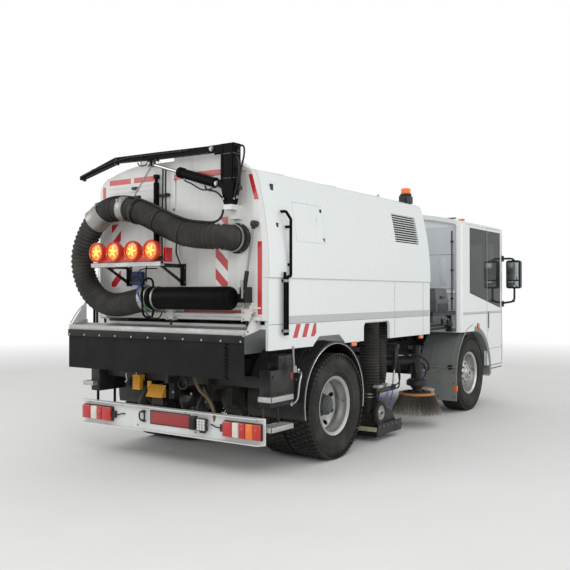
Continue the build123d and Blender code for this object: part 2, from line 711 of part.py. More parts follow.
# Its arm with the motor, and the bracket on the rail
arm_post = (1800, -650)
arm_mid = 820
motor_r = 75
post_r = 38
arm_r = 45
arm = upright(brush_x, brush_y, brush_top + 80, brush_top + 360, motor_r)
arm += upright(brush_x, brush_y, brush_top, brush_top + 100, spindle_r)
arm += upright(brush_x, brush_y, arm_mid - 60, arm_mid + 200, 50)
arm += rod((brush_x, brush_y, arm_mid), (arm_post[0], arm_post[1], arm_mid), arm_r)
arm += upright(arm_post[0], arm_post[1], arm_mid - 75, arm_mid + 75, motor_r)
arm -= upright(arm_post[0], arm_post[1], arm_mid - 100, arm_mid + 100, post_r + fit)
keep("brush_arm", arm)
post = upright(arm_post[0], arm_post[1], arm_mid - 130, arm_mid + 130, post_r)
for low in (arm_mid - 125, arm_mid + 85):
    post += slab((arm_post[0] - 60, arm_post[0] + 60), (arm_post[1] - 70, -rail_y), (low, low + 40))
keep("arm_bracket", post)

# Steering knuckles
knuckle_half = 58
arm_h = 50
arm_low = fist_half + 57
spindle_wheel_r = 48
for side, name in ((1, "left"), (-1, "right")):
    y = side * kingpin_y
    inner = y + side * (fist_r + 15)
    outer = inner + side * 30
    knuckle = slab((wheelbase - knuckle_half, wheelbase + knuckle_half), (min(inner, outer), max(inner, outer)),
                   (tyre_r - arm_low, tyre_r + arm_low))
    for z in (tyre_r - arm_low, tyre_r + fist_half + 7):
        knuckle += upright(wheelbase, y, z, z + arm_h, fist_r)
        knuckle += slab((wheelbase - fist_r, wheelbase + fist_r), (min(y, outer), max(y, outer)), (z, z + arm_h))
    knuckle += across(wheelbase, tyre_r, y + side * 90, side * (front_y + 60), spindle_wheel_r)
    knuckle -= upright(wheelbase, y, tyre_r - 150, tyre_r + 150, kingpin_r + fit)
    keep("knuckle_" + name, knuckle)


# Wheels
def ring_part(points, x, y):
    """Turned part about the wheel's axle, from radius and width pairs."""
    face = make_face(Polyline(*points, close=True))
    turned = revolve(Plane.XY * face, axis=Axis.Y)
    return Pos(x, y, tyre_r) * turned


half_w = tyre_w / 2
bead_r = rim_r - 14
bead_w = 110
shoulder_r = tyre_r - 45
tyre_outline = ((bead_r, -bead_w), (bead_r, bead_w), (rim_r + 2, bead_w), (rim_r + 30, half_w - 12),
                (shoulder_r, half_w), (tyre_r, half_w - 38), (tyre_r, 38 - half_w), (shoulder_r, -half_w),
                (rim_r + 30, 12 - half_w), (rim_r + 2, -bead_w))
disc_t = 16
hole_r = 27
hole_circle = 205
hole_count = 8


def tyre(x, y):
    """Plain tyre, out to its tread."""
    return ring_part(tyre_outline, x, y)


def rim(x, face_y, disc_r, y):
    """Steel wheel: its well, and a disc with a ring of round holes."""
    lip = bead_w + 18
    seat = bead_w + seat_gap
    well = ((bead_r - seat_gap, -seat), (rim_r, -seat), (rim_r, -lip), (bead_r - 18, -bead_w),
            (bead_r - 34, -50), (bead_r - 34, 50), (bead_r - 18, bead_w), (rim_r, lip), (rim_r, seat),
            (bead_r - seat_gap, seat), (bead_r - 22, 50), (bead_r - 22, -50))
    holes = [spot * Cylinder(hole_r, 2 * disc_t) for spot in PolarLocations(hole_circle, hole_count)]
    disc = Cylinder(disc_r, disc_t) - holes
    return ring_part(well, x, y) + Pos(x, face_y, tyre_r) * Rot(90, 0, 0) * disc


front_dish = 70
rear_dish = 110
hub_r = 120
cap_r = 80
for side, name in ((1, "left"), (-1, "right")):
    keep("front_tyre_" + name, tyre(wheelbase, side * front_y))
    front_rim = rim(wheelbase, side * (front_y + front_dish), bead_r - 22, side * front_y)
    front_rim += across(wheelbase, tyre_r, side * (front_y + 20), side * (front_y + 110), hub_r)
    front_rim += across(wheelbase, tyre_r, side * (front_y + 100), side * (front_y + 135), cap_r)
    front_rim -= across(wheelbase, tyre_r, side * (front_y - 60), side * (front_y + 61), spindle_wheel_r + fit)
    keep("front_rim_" + name, front_rim)
    keep("rear_tyres_" + name, tyre(0, side * rear_inner_y) + tyre(0, side * rear_outer_y))
    rims = rim(0, side * (rear_outer_y - rear_dish), bead_r - 12, side * rear_outer_y)
    rims += rim(0, side * (rear_inner_y + rear_dish), bead_r - 12, side * rear_inner_y)
    rims += across(0, tyre_r, side * (rear_inner_y + rear_dish), side * (rear_outer_y - rear_dish), hub_r + 20)
    rims += across(0, tyre_r, side * (rear_outer_y - rear_dish), side * (rear_outer_y + 30), hub_r - 10)
    rims += across(0, tyre_r, side * (rear_outer_y + 25), side * (rear_outer_y + 70), hub_r - 20)
    rims -= across(0, tyre_r, side * (rear_inner_y - 200), side * (rear_outer_y + 24), stub_r + fit)
    keep("rear_rims_" + name, rims)


# Hopper body
lower_in = 10


def hopper_face(inset, low):
    """Cross section of the body, drawn in by an inset. The upper part overhangs the lower one a little."""
    lower = half_width - lower_in - inset
    waist = (half_width - inset, crease_z)
    shoulder = (half_width - shoulder_in - inset, shoulder_z - inset / 2)
    edge = (half_width - edge_in - inset, edge_z - inset)
    top = (0, roof_z - inset)
    right = Polyline((lower, low), (lower, crease_z - 8), waist)
    right += ThreePointArc(waist, (half_width - lean_in - inset, lean_z), shoulder)
    right += ThreePointArc(shoulder, (half_width - knee_in - inset, knee_z - inset), edge)
    roof = ThreePointArc(edge, top, (-edge[0], edge[1]))
    left = mirror(right, about=Plane.YZ)
    base = Line((-lower, low), (lower, low))
    return make_face(right + roof + left + base)


def hopper_block(x0, x1, inset, low):
    """Body volume between two stations."""
    return extrude(Plane.YZ.offset(x0) * hopper_face(inset, low), amount=x1 - x0)


body = hopper_block(hopper_rear, hopper_front, 0, skirt_z)
body -= hopper_block(hopper_rear - gap, bulkhead_x, shell_t, floor_z)
body -= hopper_block(bulkhead_x + shell_t, hopper_front - shell_t, shell_t, floor_z)
body -= slab((hopper_rear - gap, hopper_front + gap), (shell_t - half_width, half_width - shell_t),
             (0, floor_z - shell_t))
body -= slab((hopper_rear - gap, corner_x), (left_step_y, half_width + gap), (0, gate_hinge_z + 90))
body += slab((hopper_rear, corner_x), (left_step_y - shell_t, left_step_y), (floor_z - 2, roof_z - 215))
body += slab((corner_x, corner_x + shell_t), (left_step_y - shell_t, half_width - shell_t + 2),
             (floor_z - 2, roof_z - 195)) \
    & hopper_block(hopper_rear, hopper_front, 0, skirt_z)

# Wheel arches, and the opening for the suction hose on the right
arch_top = 1263
arch_x = (-440, 170)
arch_cut = 110
body -= side_plate(((arch_x[0], 0), (arch_x[0], 1180), (arch_x[0] + arch_cut, arch_top),
                    (arch_x[1] - arch_cut, arch_top), (arch_x[1], 1180), (arch_x[1], 0)),
                   -half_width - gap, half_width + gap)
mouth = slab((580, 1200), (-half_width - gap, shell_t + gap - half_width), (0, 1375))
body -= fillet(mouth.edges().filter_by(Axis.Y), 70)

# Air louvres at both front corners: slats across an opening in the wall
louvre_x = (hopper_front - 930, hopper_front - 280)
louvre_z = (roof_z - 685, roof_z - 345)
louvre_count = 12
slat_t = 6
slat_drop = 20
louvre_in = half_width - 170
louvre = slab(louvre_x, (louvre_in, half_width), louvre_z)
skin = hopper_block(louvre_x[0] - gap, louvre_x[1] + gap, 3, crease_z)
skin -= hopper_block(louvre_x[0] - 2 * gap, louvre_x[1] + 2 * gap, shell_t - 8, crease_z)
body -= both(louvre)
louvre_pitch = (louvre_z[1] - louvre_z[0]) / louvre_count
for k in range(louvre_count):
    z = louvre_z[0] + (k + 0.35) * louvre_pitch
    slat = rear_plate(((half_width, z), (half_width, z + slat_t), (louvre_in, z + slat_drop + slat_t),
                       (louvre_in, z + slat_drop)), louvre_x[0] - 2, louvre_x[1] + 2)
    body += both(slat & skin)

# Groove round the side hatch on the right
hatch_x = (-720, -200)
hatch_z = (roof_z - 795, roof_z - 425)
groove_w = 7
groove_t = 5
hatch_y = (-half_width - gap, 120 - half_width)
groove = slab((hatch_x[0] - groove_w, hatch_x[1] + groove_w), hatch_y,
              (hatch_z[0] - groove_w, hatch_z[1] + groove_w))
groove -= slab(hatch_x, hatch_y, hatch_z)
body -= groove - hopper_block(hopper_rear, hopper_front, groove_t, skirt_z)

# Sub frame beams and tipping lugs
body += both(slab((hopper_rear + 40, hopper_front - 60), (rail_y - 90, rail_y - 10),
                  (tip_z + 55, floor_z - shell_t + 2)))
lug = slab((tip_x - 55, tip_x + 55), (rail_y + 20, rail_y + 50), (tip_z - 50, tip_z + 120))
lug += slab((tip_x - 55, tip_x + 55), (rail_y - 12, rail_y + 50), (tip_z + 75, tip_z + 120))
lug -= across(tip_x, tip_z, 0, 2 * rail_y, tip_pin_r + fit)
body += both(lug)

# Gate hinge lugs on the roof
gate_mid = -190
hinge_y = (gate_mid - 420, gate_mid + 420)
hinge_pin_r = 14
lug_half = 12
for y in hinge_y:
    body += slab((gate_hinge_x - 20, gate_hinge_x + 120), (y - lug_half, y + lug_half),
                 (gate_hinge_z - 130, gate_hinge_z + 22))
    body -= across(gate_hinge_x, gate_hinge_z, y - 30, y + 30, hinge_pin_r + fit)
keep("hopper_shell", body)

# Chute under the gate, and its rubber flap
chute_x = -1400
chute_low = 1312
chute_half = half_width - 100
chute_t = 20
cheek_t = 16
chute_rear = floor_z - 45
chute = side_plate(((hopper_rear, chute_rear), (hopper_rear, chute_rear + chute_t), (chute_x, chute_low + chute_t),
                    (chute_x, chute_low)), -chute_half, chute_half)
chute += slab((chute_x - 26, chute_x), (-chute_half, chute_half), (chute_low - gap, chute_low + 40))
chute += both(side_plate(((hopper_rear, chute_rear), (hopper_rear, floor_z + 12), (chute_x - 20, chute_low + 40),
                          (chute_x - 20, chute_low)), chute_half - cheek_t, chute_half))
keep("chute", chute)
keep("rubber_flap", slab((chute_x - 36, chute_x - 26), (-chute_half, chute_half), (925, chute_low + 4)))

# Grab tubes on the rear corners of the body
tube_r = 14
tube_y = half_width + 22
tube_x = -935
tube = bent(((tube_x + 5, half_width - 70, 2440), (tube_x + 5, half_width, 2440), (tube_x + 55, tube_y, 2370),
             (tube_x + 55, tube_y, 1840), (tube_x, tube_y, 1840), (tube_x, tube_y, 1300)), 22, tube_r)
tube += rod((tube_x - 40, tube_y, 1880), (tube_x - 40, tube_y, 1300), tube_r)
for z in (1330, 1790):
    tube += slab((tube_x - 50, tube_x + 15), (half_width - 40, tube_y), (z, z + 20))
keep("grab_tubes", both(tube) - hopper_block(hopper_rear, hopper_front, 0, skirt_z))

# Beacon on its bracket at the front of the roof
beacon_x = hopper_front - 150
beacon_y = 270 - half_width
beacon_post = 150
beacon_foot = roof_z - 45
beacon = slab((beacon_x - 85, beacon_x + 85), (beacon_y - 60, beacon_y + 60),
              (beacon_foot - beacon_post, beacon_foot))
beacon += upright(beacon_x, beacon_y, beacon_foot - 1, beacon_foot + 24, 74)
beacon += upright(beacon_x, beacon_y, beacon_foot + 23, beacon_foot + 95, 62)
keep("beacon", beacon - hopper_block(hopper_rear, hopper_front, 0, skirt_z))

# Tailgate: a thick plate with a domed left shoulder, a flat raised middle and the body's section on the right
gate_right = lower_in - half_width
dome_z = roof_z - 20
step_y0 = -190
raised_z = roof_z + 13
shoulder_y = shoulder_in - half_width
edge_y = edge_in - half_width
raised_y = edge_y + 270
right_edge = Polyline((gate_right, gate_low), (gate_right, crease_z - 8), (-half_width, crease_z))
right_edge += ThreePointArc((-half_width, crease_z), (lean_in - half_width, lean_z), (shoulder_y, shoulder_z))
right_edge += ThreePointArc((shoulder_y, shoulder_z), (knee_in - half_width, knee_z), (edge_y, edge_z))
right_edge += ThreePointArc((edge_y, edge_z), (edge_y + 130, raised_z - 78), (raised_y, raised_z))
middle_edge = Polyline((raised_y, raised_z), (step_y0, raised_z), (step_y0, dome_z),
                       (gate_left - 540, dome_z - 3))
left_edge = ThreePointArc((gate_left - 540, dome_z - 3), (gate_left - 300, dome_z - 47),
                          (gate_left - 100, dome_z - 108))
left_edge += ThreePointArc((gate_left - 100, dome_z - 108), (gate_left - 25, dome_z - 167),
                           (gate_left, dome_z - 285))
left_edge += Polyline((gate_left, dome_z - 285), (gate_left, gate_low), (gate_right, gate_low))
gate_face = make_face(right_edge + middle_edge + left_edge)
gate = extrude(Plane.YZ.offset(gate_x) * gate_face, amount=gate_front - gate_x)

# Recessed panel over a step line on the right, and two grooves in the dome
panel_depth = 12
panel_low = roof_z - 485
gate -= slab((gate_x - gap, gate_x + panel_depth), (edge_y, step_y0 - 12), (panel_low, panel_low + 300))
for z in (roof_z - 285, roof_z - 233):
    gate -= slab((gate_x - gap, gate_x + groove_t), (50, 700), (z, z + groove_w))

# Hinge arms with their pins
hinge_t = 24
for y in hinge_y:
    arm_y = (y + lug_half + 2, y + lug_half + 2 + hinge_t)
    gate += slab((gate_x, gate_hinge_x + 16), arm_y, (gate_hinge_z - 150, gate_hinge_z + 20)) \
        - slab((gate_front + 1, gate_hinge_x + 30), (y, y + 50), (gate_hinge_z - 160, gate_hinge_z - 22))
    gate += across(gate_hinge_x, gate_hinge_z, y - lug_half - 2, y + lug_half + 4, hinge_pin_r)

# Lock posts along the lower edge, with the lock shaft through them
post_y = (-1100, gate_mid, 720)
shaft_x = gate_x - 35
shaft_z = 1490
for y in post_y:
    gate += slab((gate_x - 60, gate_x + 1), (y - 35, y + 35), (gate_low + 5, 1530))
    gate += across(shaft_x, shaft_z, y - 45, y + 45, 24)
gate += across(shaft_x, shaft_z, post_y[0], post_y[2], 18)

# Foot of the mast
mast_x = -1380
mast_y = 290 - half_width
mast_top = roof_z + 45
mast_low = mast_top - 540
foot_half = 45
mast_pin_r = 20
gate += slab((mast_x - foot_half, gate_x + 20), (mast_y - foot_half, mast_y + foot_half),
             (mast_low - 50, mast_low - gap))
gate += slab((gate_x - 60, gate_x + 1), (mast_y - foot_half, mast_y + foot_half), (mast_low - 130, mast_low - 45))
gate += upright(mast_x, mast_y, mast_low - 10, mast_low + 50, mast_pin_r)
keep("tailgate", gate)

# Slim cylinder on the gate
ram_x = gate_x - 27
gate_ram_y = 20
gate_ram_z = (2120, 2840)
gate_ram = rod((ram_x, gate_ram_y, gate_ram_z[0]), (ram_x, gate_ram_y, gate_ram_z[1] - 80), 27)
gate_ram += rod((ram_x, gate_ram_y, gate_ram_z[1] - 85), (ram_x, gate_ram_y, gate_ram_z[1]), 16)
for z in (gate_ram_z[0] - 20, gate_ram_z[1] - 40):
    gate_ram += slab((ram_x - 20, gate_x), (gate_ram_y - 20, gate_ram_y + 20), (z, z + 40))
keep("gate_cylinder", gate_ram)

# Wander hose, from its flange on the gate over the lamps and down to the suction tube
hose_x = gate_x - 175
wander_r = 117
flange_r = 130
port_gate = (-974, 2179)
tube_z = 1640
hose_line = ((gate_x - 8, port_gate[0], port_gate[1]), (hose_x - 70, port_gate[0], port_gate[1] + 3),
             (hose_x - 45, -560, 2212), (hose_x, 140, 2503), (hose_x, 600, 2508), (hose_x, 925, 2060),
             (hose_x, 728, 1585), (hose_x, 300, 1558), (hose_x, 110, tube_z), (hose_x, -30, tube_z))
wander = bent(hose_line, 220, wander_r)
wander += rod((gate_x, port_gate[0], port_gate[1]), (gate_x - 14, port_gate[0], port_gate[1]), flange_r)
keep("wander_hose", wander)

# Suction tube on two stays, with the loop of its pipe
tube_rad = 106
tube_y = (-30, -1040)
stay_pairs = (-985, -100)
suction_tube = rod((hose_x, tube_y[0], tube_z), (hose_x, tube_y[1], tube_z), tube_rad)
suction_tube += rod((hose_x, tube_y[0] - 35, tube_z), (hose_x, tube_y[0] - 60, tube_z), tube_rad + 7)
for y in stay_pairs:
    suction_tube += slab((hose_x, gate_x), (y, y + 40), (tube_z - 40, tube_z + 40))
loop_y = tube_y[0] - 55
loop_r = 9
loop_x = hose_x - 125
loop_z = (tube_z - 160, tube_z + 150)
suction_tube += bent(((hose_x, loop_y, tube_z + 60), (hose_x, loop_y, loop_z[1]), (loop_x, loop_y, loop_z[1]),
                      (loop_x, loop_y, loop_z[0]), (hose_x, loop_y, loop_z[0]), (hose_x, loop_y, tube_z - 80)), 40, loop_r)
keep("suction_tube", suction_tube)

# Warning lamps on their bar
lamp_depth = 62
bar_x = lamp_depth - rear_overhang
lamp_mid = (500, 269, 19, -226)
bar_z = (1935, 1960)
bar = slab((bar_x - 25, bar_x + 25), (-330, 600), bar_z)
bracket_low = 1760
for y in (-310, 410):
    bar += side_plate(((gate_x, bracket_low), (gate_x, bar_z[1] + 5), (bar_x, bar_z[1]), (bar_x, bar_z[0] + 1),
                       (gate_x - 60, 1880), (gate_x - 20, bracket_low)), y - 5, y + 5)
    bar += slab((gate_x - 8, gate_x), (y - 30, y + 30), (bracket_low, bar_z[1] + 5))
bar += slab((bar_x - 18, bar_x + 18), (-325, 590), (bar_z[1] - 2, bar_z[1] + 20))
keep("lamp_bar", bar)
lamp_r = 98
lens_r = 80
bezel_r = 90
lamp_centre = bar_z[1] + 121
lens_x = bar_x - lamp_depth
warn = slab((bar_x - 15, bar_x + 20), (-240, 515), (bar_z[1] + 20, lamp_centre + 49))
for y in lamp_mid:
    warn += rod((bar_x + 30, y, lamp_centre), (lens_x, y, lamp_centre), lamp_r)
    warn -= rod((lens_x - gap, y, lamp_centre), (lens_x + 12, y, lamp_centre), bezel_r) \
        - rod((lens_x - 2 * gap, y, lamp_centre), (lens_x + 14, y, lamp_centre), lens_r)
keep("warning_lamps", warn)

# Mast: a box post that tapers to its foot, with ears for the boom and for the ram
taper_z = mast_top - 360
mast = slab((mast_x - 50, mast_x + 50), (mast_y - 75, mast_y + 75), (taper_z, mast_top))
mast += loft([Plane.XY.offset(taper_z + 1) * Pos(mast_x, mast_y) * Rectangle(100, 150),
              Plane.XY.offset(mast_low) * Pos(mast_x, mast_y) * Rectangle(84, 90)])
mast -= upright(mast_x, mast_y, mast_low - 12, mast_low + 52, mast_pin_r + fit)
boom_pin_y = mast_y + 185
boom_pin_z = mast_top - 30
ram_low_y = mast_y + 130
ram_low_z = taper_z + 12
pin_r = 12
ear = 10
ear_x = 42
for x in (mast_x - ear_x, mast_x + ear_x - ear):
    mast += slab((x, x + ear), (mast_y + 70, boom_pin_y + 30), (boom_pin_z - 40, boom_pin_z + 30))
    mast += slab((x, x + ear), (mast_y + 70, ram_low_y + 26), (ram_low_z - 30, ram_low_z + 30))
for y, z in ((boom_pin_y, boom_pin_z), (ram_low_y, ram_low_z)):
    mast += rod((mast_x - ear_x - 2, y, z), (mast_x + ear_x + 2, y, z), pin_r)
keep("mast", mast)

# Boom with its elbow, and the ears that carry the ram's eye
boom_half = 28
boom_end = boom_pin_y - 30
elbow_y = 490
tip = (1010, mast_top - 140)
ear_drop = 58
ram_top_y = 10
ram_top_z = boom_pin_z - ear_drop
boom = rear_plate(((boom_end, boom_pin_z - 28), (-60, boom_pin_z - 20), (elbow_y - 20, boom_pin_z - 5),
                   (tip[0], tip[1] - 22), (tip[0], tip[1] + 16), (elbow_y, boom_pin_z + 50), (-60, boom_pin_z + 44),
                   (boom_end, boom_pin_z + 30)), mast_x - boom_half, mast_x + boom_half)
boom -= rod((mast_x - 60, boom_pin_y, boom_pin_z), (mast_x + 60, boom_pin_y, boom_pin_z), pin_r + fit)
for side in (-1, 1):
    outer = mast_x + side * boom_half
    inner = outer - side * ear
    boom += slab((min(outer, inner), max(outer, inner)), (ram_top_y - 25, ram_top_y + 25),
                 (ram_top_z - 25, boom_pin_z - 10))
    boom += rod((outer, ram_top_y, ram_top_z), (outer + side * 8, ram_top_y, ram_top_z), pin_r + 6)
keep("boom", boom)

# Ram: barrel with a gland and an eye, and its rod
ram_line = Line((mast_x, ram_low_y, ram_low_z), (mast_x, ram_top_y, ram_top_z))
ram_len = ram_line.length
ram_dir = ram_line % 0
ram_foot = ram_line @ 0
barrel_len = ram_len * 0.58
barrel_r = 46
rod_r = 16
eye_r = 26
barrel = rod(ram_foot + ram_dir * 40, ram_foot + ram_dir * barrel_len, barrel_r)
barrel += rod(ram_foot + ram_dir * (barrel_len - 40), ram_foot + ram_dir * (barrel_len - 8), barrel_r + 5)
barrel += rod(ram_foot, ram_foot + ram_dir * 45, eye_r - 2)
barrel += rod((mast_x - 24, ram_low_y, ram_low_z), (mast_x + 24, ram_low_y, ram_low_z), eye_r)
barrel -= rod((mast_x - 60, ram_low_y, ram_low_z), (mast_x + 60, ram_low_y, ram_low_z), pin_r + fit)
barrel -= rod(ram_foot + ram_dir * 60, ram_foot + ram_dir * (barrel_len + 5), rod_r + fit)
keep("ram_barrel", barrel)
piston = rod(ram_foot + ram_dir * ram_len * 0.34, ram_foot + ram_dir * (ram_len - 16), rod_r)
piston += rod((mast_x - 15, ram_top_y, ram_top_z), (mast_x + 15, ram_top_y, ram_top_z), 20)
piston -= rod((mast_x - 60, ram_top_y, ram_top_z), (mast_x + 60, ram_top_y, ram_top_z), pin_r + fit)
keep("ram_rod", piston)
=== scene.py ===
import math
import random

import bmesh
import bpy
from mathutils import Matrix, Vector


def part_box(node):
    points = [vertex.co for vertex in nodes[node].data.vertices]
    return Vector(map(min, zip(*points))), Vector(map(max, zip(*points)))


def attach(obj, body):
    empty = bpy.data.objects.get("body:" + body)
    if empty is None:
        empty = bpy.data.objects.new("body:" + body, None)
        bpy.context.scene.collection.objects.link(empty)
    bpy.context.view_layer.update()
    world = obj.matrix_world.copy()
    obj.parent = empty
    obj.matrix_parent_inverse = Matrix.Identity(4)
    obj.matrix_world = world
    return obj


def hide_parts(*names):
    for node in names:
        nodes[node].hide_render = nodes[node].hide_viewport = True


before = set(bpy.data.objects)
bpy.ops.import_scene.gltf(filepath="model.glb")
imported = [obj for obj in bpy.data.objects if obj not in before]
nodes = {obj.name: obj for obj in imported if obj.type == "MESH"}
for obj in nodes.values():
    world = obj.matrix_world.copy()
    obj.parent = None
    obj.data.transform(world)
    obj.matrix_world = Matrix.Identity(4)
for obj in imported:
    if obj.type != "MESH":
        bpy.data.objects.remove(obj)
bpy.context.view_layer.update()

random.seed(7)

# Places are written from the rear axle, forward, left and up from the ground, in metres
rearLow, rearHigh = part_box("rear_tyres_left")
steerLow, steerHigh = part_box("front_tyre_left")
axleX = (rearLow.x + rearHigh.x) / 2
wheelZ = (rearLow.z + rearHigh.z) / 2
tyreRadius = (rearHigh.z - rearLow.z) / 2


def at(x, y, z):
    return Vector((axleX + x, y, z))


def located(place):
    # a vector is a place already, three numbers are read from the rear axle
    return place if isinstance(place, Vector) else at(*place)


def ray(angle, plane="xy"):
    # a direction at an angle in one of the three planes
    share = {plane[0]: math.cos(angle), plane[1]: math.sin(angle)}
    return Vector([share.get(axis, 0) for axis in "xyz"])


def vec(x, y, z):
    return Vector((x, y, z))


aft, up = (-1, 0, 0), Vector((0, 0, 1))


def spaced(start, step, count):
    return [start + k * step for k in range(count)]


bothSides = ((1, "left"), (-1, "right"))


# Shader building
class Value:
    # one output of a node, so that shader maths reads as an expression
    def __init__(self, finish, socket):
        self.finish = finish
        self.socket = socket

    def maths(self, operation, first, second=None, clamp=False):
        inputs = {0: first}
        if second is not None:
            inputs[1] = second
        return self.finish.add("ShaderNodeMath", {"operation": operation, "use_clamp": clamp}, inputs)

    def __add__(self, other):
        return self.maths("ADD", self, other)

    def __radd__(self, other):
        return self.maths("ADD", other, self)

    def __sub__(self, other):
        return self.maths("SUBTRACT", self, other)

    def __rsub__(self, other):
        return self.maths("SUBTRACT", other, self)

    def __mul__(self, other):
        return self.maths("MULTIPLY", self, other)

    def __rmul__(self, other):
        return self.maths("MULTIPLY", other, self)

    def __truediv__(self, other):
        return self.maths("DIVIDE", self, other)

    def clamp(self):
        return self.maths("ADD", self, 0.0, clamp=True)

    def sine(self):
        return self.maths("SINE", self)


class Finish:
    # one procedural material
    def __init__(self, name, fixed=None):
        self.material = bpy.data.materials.new(name)
        self.material.use_nodes = True
        self.tree = self.material.node_tree
        self.surface = self.tree.nodes["Principled BSDF"]
        self.place = self.add("ShaderNodeTexCoord", output=3)
        for socket, value in (fixed or {}).items():
            self.surface.inputs[socket].default_value = value

    def add(self, kind, settings=None, inputs=None, output=0):
        node = self.tree.nodes.new(kind)
        for key, value in (settings or {}).items():
            if key == "stops":
                for stop, (place, shade) in zip(node.color_ramp.elements, value):
                    stop.position = place
                    stop.color = (shade, shade, shade, 1)
            else:
                setattr(node, key, value)
        for key, value in (inputs or {}).items():
            if isinstance(value, Value):
                self.tree.links.new(value.socket, node.inputs[key])
            else:
                node.inputs[key].default_value = value
        return Value(self, node.outputs[output])

    def feed(self, socket, value):
        self.tree.links.new(value.socket, self.surface.inputs[socket])

    def stretched(self, scale):
        return self.add("ShaderNodeMapping", {}, {"Vector": self.place, "Scale": scale})

    def axis(self, index):
        return self.add("ShaderNodeSeparateXYZ", {}, {0: self.place}, output=index)

    def noise(self, scale, detail=3, place=None):
        return self.add("ShaderNodeTexNoise", {}, {"Vector": place or self.place, "Scale": scale,
            "Detail": detail, "Roughness": 0.55})

    def ramp(self, value, low, high):
        return self.add("ShaderNodeValToRGB", {"stops": ((low, 0.0), (high, 1.0))}, {0: value})

    def blend(self, mask, first, second):
        return self.add("ShaderNodeMix", {"data_type": "RGBA"}, {0: mask, 6: first, 7: second}, output=2)

    def bump(self, height, strength, distance):
        made = self.add("ShaderNodeBump", {}, {"Height": height, "Strength": strength, "Distance": distance})
        self.feed("Normal", made)


def linear(red, green, blue):
    # a colour as it looks on a screen, from 0 to 255, in scene values
    def channel(value):
        value /= 255
        return value / 12.92 if value <= 0.04045 else ((value + 0.055) / 1.055) ** 2.4
    return (channel(red), channel(green), channel(blue), 1.0)


def shaded(colour, share):
    return tuple(c * share for c in colour[:3]) + (1.0,)


dustColour = linear(150, 143, 132)


def paintFinish(name, colour, rough=0.3, dust=0.35, dustTop=1.2, coat=0.4, streaks=0.0):
    # sprayed paint with road dust that thins out with height, and faint runs under the seams
    finish = Finish(name, {"Coat Weight": coat, "Coat Roughness": 0.12, "Specular IOR Level": 0.45})
    height = finish.axis(2)
    cloud = finish.noise(1.7, 6.0)
    speck = finish.noise(38.0, 3.0)
    low = ((dustTop - height) / dustTop).clamp()
    mask = (low * 1.3 * finish.ramp(cloud, 0.3, 0.75) + 0.25 * low * speck) * dust
    if streaks:
        runs = finish.noise(1.6, 5.0, finish.stretched((7.0, 7.0, 0.35)))
        mask = mask + finish.ramp(runs, 0.5, 0.78) * streaks
    tone = finish.blend(cloud, shaded(colour, 0.965), colour)
    finish.feed("Base Color", finish.blend(mask.clamp(), tone, dustColour))
    finish.feed("Roughness", rough + mask * 0.5 + (speck - 0.5) * 0.06)
    finish.bump(finish.noise(160.0, 2.0), 0.05, 0.0006)
    return finish.material


def castFinish(name, colour, rough=0.6, dust=0.5, dustTop=1.6, depth=0.0015, shine=0.35):
    # rough painted or cast steel, dusty on the whole
    finish = Finish(name, {"Specular IOR Level": shine})
    height = finish.axis(2)
    cloud = finish.noise(4.5, 7.0)
    speck = finish.noise(90.0, 4.0)
    low = ((dustTop - height) / dustTop).clamp()
    mask = (finish.ramp(cloud, 0.42,
        0.72) * dust * (0.25 + low) + (speck - 0.5).clamp() * 0.4 * dust).clamp()
    tone = finish.blend(speck, shaded(colour, 0.75), shaded(colour, 1.25))
    finish.feed("Base Color", finish.blend(mask, tone, shaded(dustColour, 0.75)))
    finish.feed("Roughness", (rough + mask * 0.35 + (cloud - 0.5) * 0.15).clamp())
    finish.bump(speck, 0.35, depth)
    return finish.material


def metalFinish(name, colour, rough=0.3, brushed=(1.0, 1.0, 12.0), dust=0.2):
    # bare or plated metal with drawn lines and dull patches
    finish = Finish(name, {})
    lines = finish.noise(30.0, 4.0, finish.stretched(brushed))
    cloud = finish.noise(6.0, 6.0)
    mask = finish.ramp(cloud, 0.48, 0.75) * dust
    tone = finish.blend(lines, shaded(colour, 0.82), colour)
    finish.feed("Base Color", finish.blend(mask, tone, dustColour))
    finish.feed("Metallic", (1.0 - mask).clamp())
    finish.feed("Roughness", (rough + lines * 0.14 + mask * 0.5).clamp())
    finish.bump(lines, 0.12, 0.0006)
    return finish.material


def zincFinish(name):
    # galvanised sheet with its spangle
    finish = Finish(name, {})
    spangle = finish.add("ShaderNodeTexVoronoi", {}, {"Vector": finish.place, "Scale": 55.0})
    cloud = finish.noise(5.0, 6.0)
    mask = finish.ramp(cloud, 0.4, 0.8) * 0.55
    tone = finish.blend(spangle, linear(176, 178, 176), linear(205, 206, 203))
    finish.feed("Base Color", finish.blend(mask, tone, linear(160, 155, 146)))
    finish.feed("Metallic", 0.75 - mask)
    finish.feed("Roughness", 0.42 + mask * 0.4 + spangle * 0.1)
    finish.bump(cloud, 0.1, 0.002)
    return finish.material


def rubberFinish(name, colour, rough=0.75, dust=0.4, grain=140.0):
    finish = Finish(name, {"Specular IOR Level": 0.3})
    cloud = finish.noise(5.0, 7.0)
    speck = finish.noise(grain, 3.0)
    mask = (finish.ramp(cloud, 0.45, 0.8) * dust + (speck - 0.55).clamp() * dust).clamp()
    tone = finish.blend(speck, shaded(colour, 0.8), colour)
    finish.feed("Base Color", finish.blend(mask, tone, shaded(dustColour, 0.5)))
    finish.feed("Roughness", (rough + mask * 0.2 - 0.1 * cloud).clamp())
    finish.bump(speck, 0.25, 0.0012)
    return finish.material


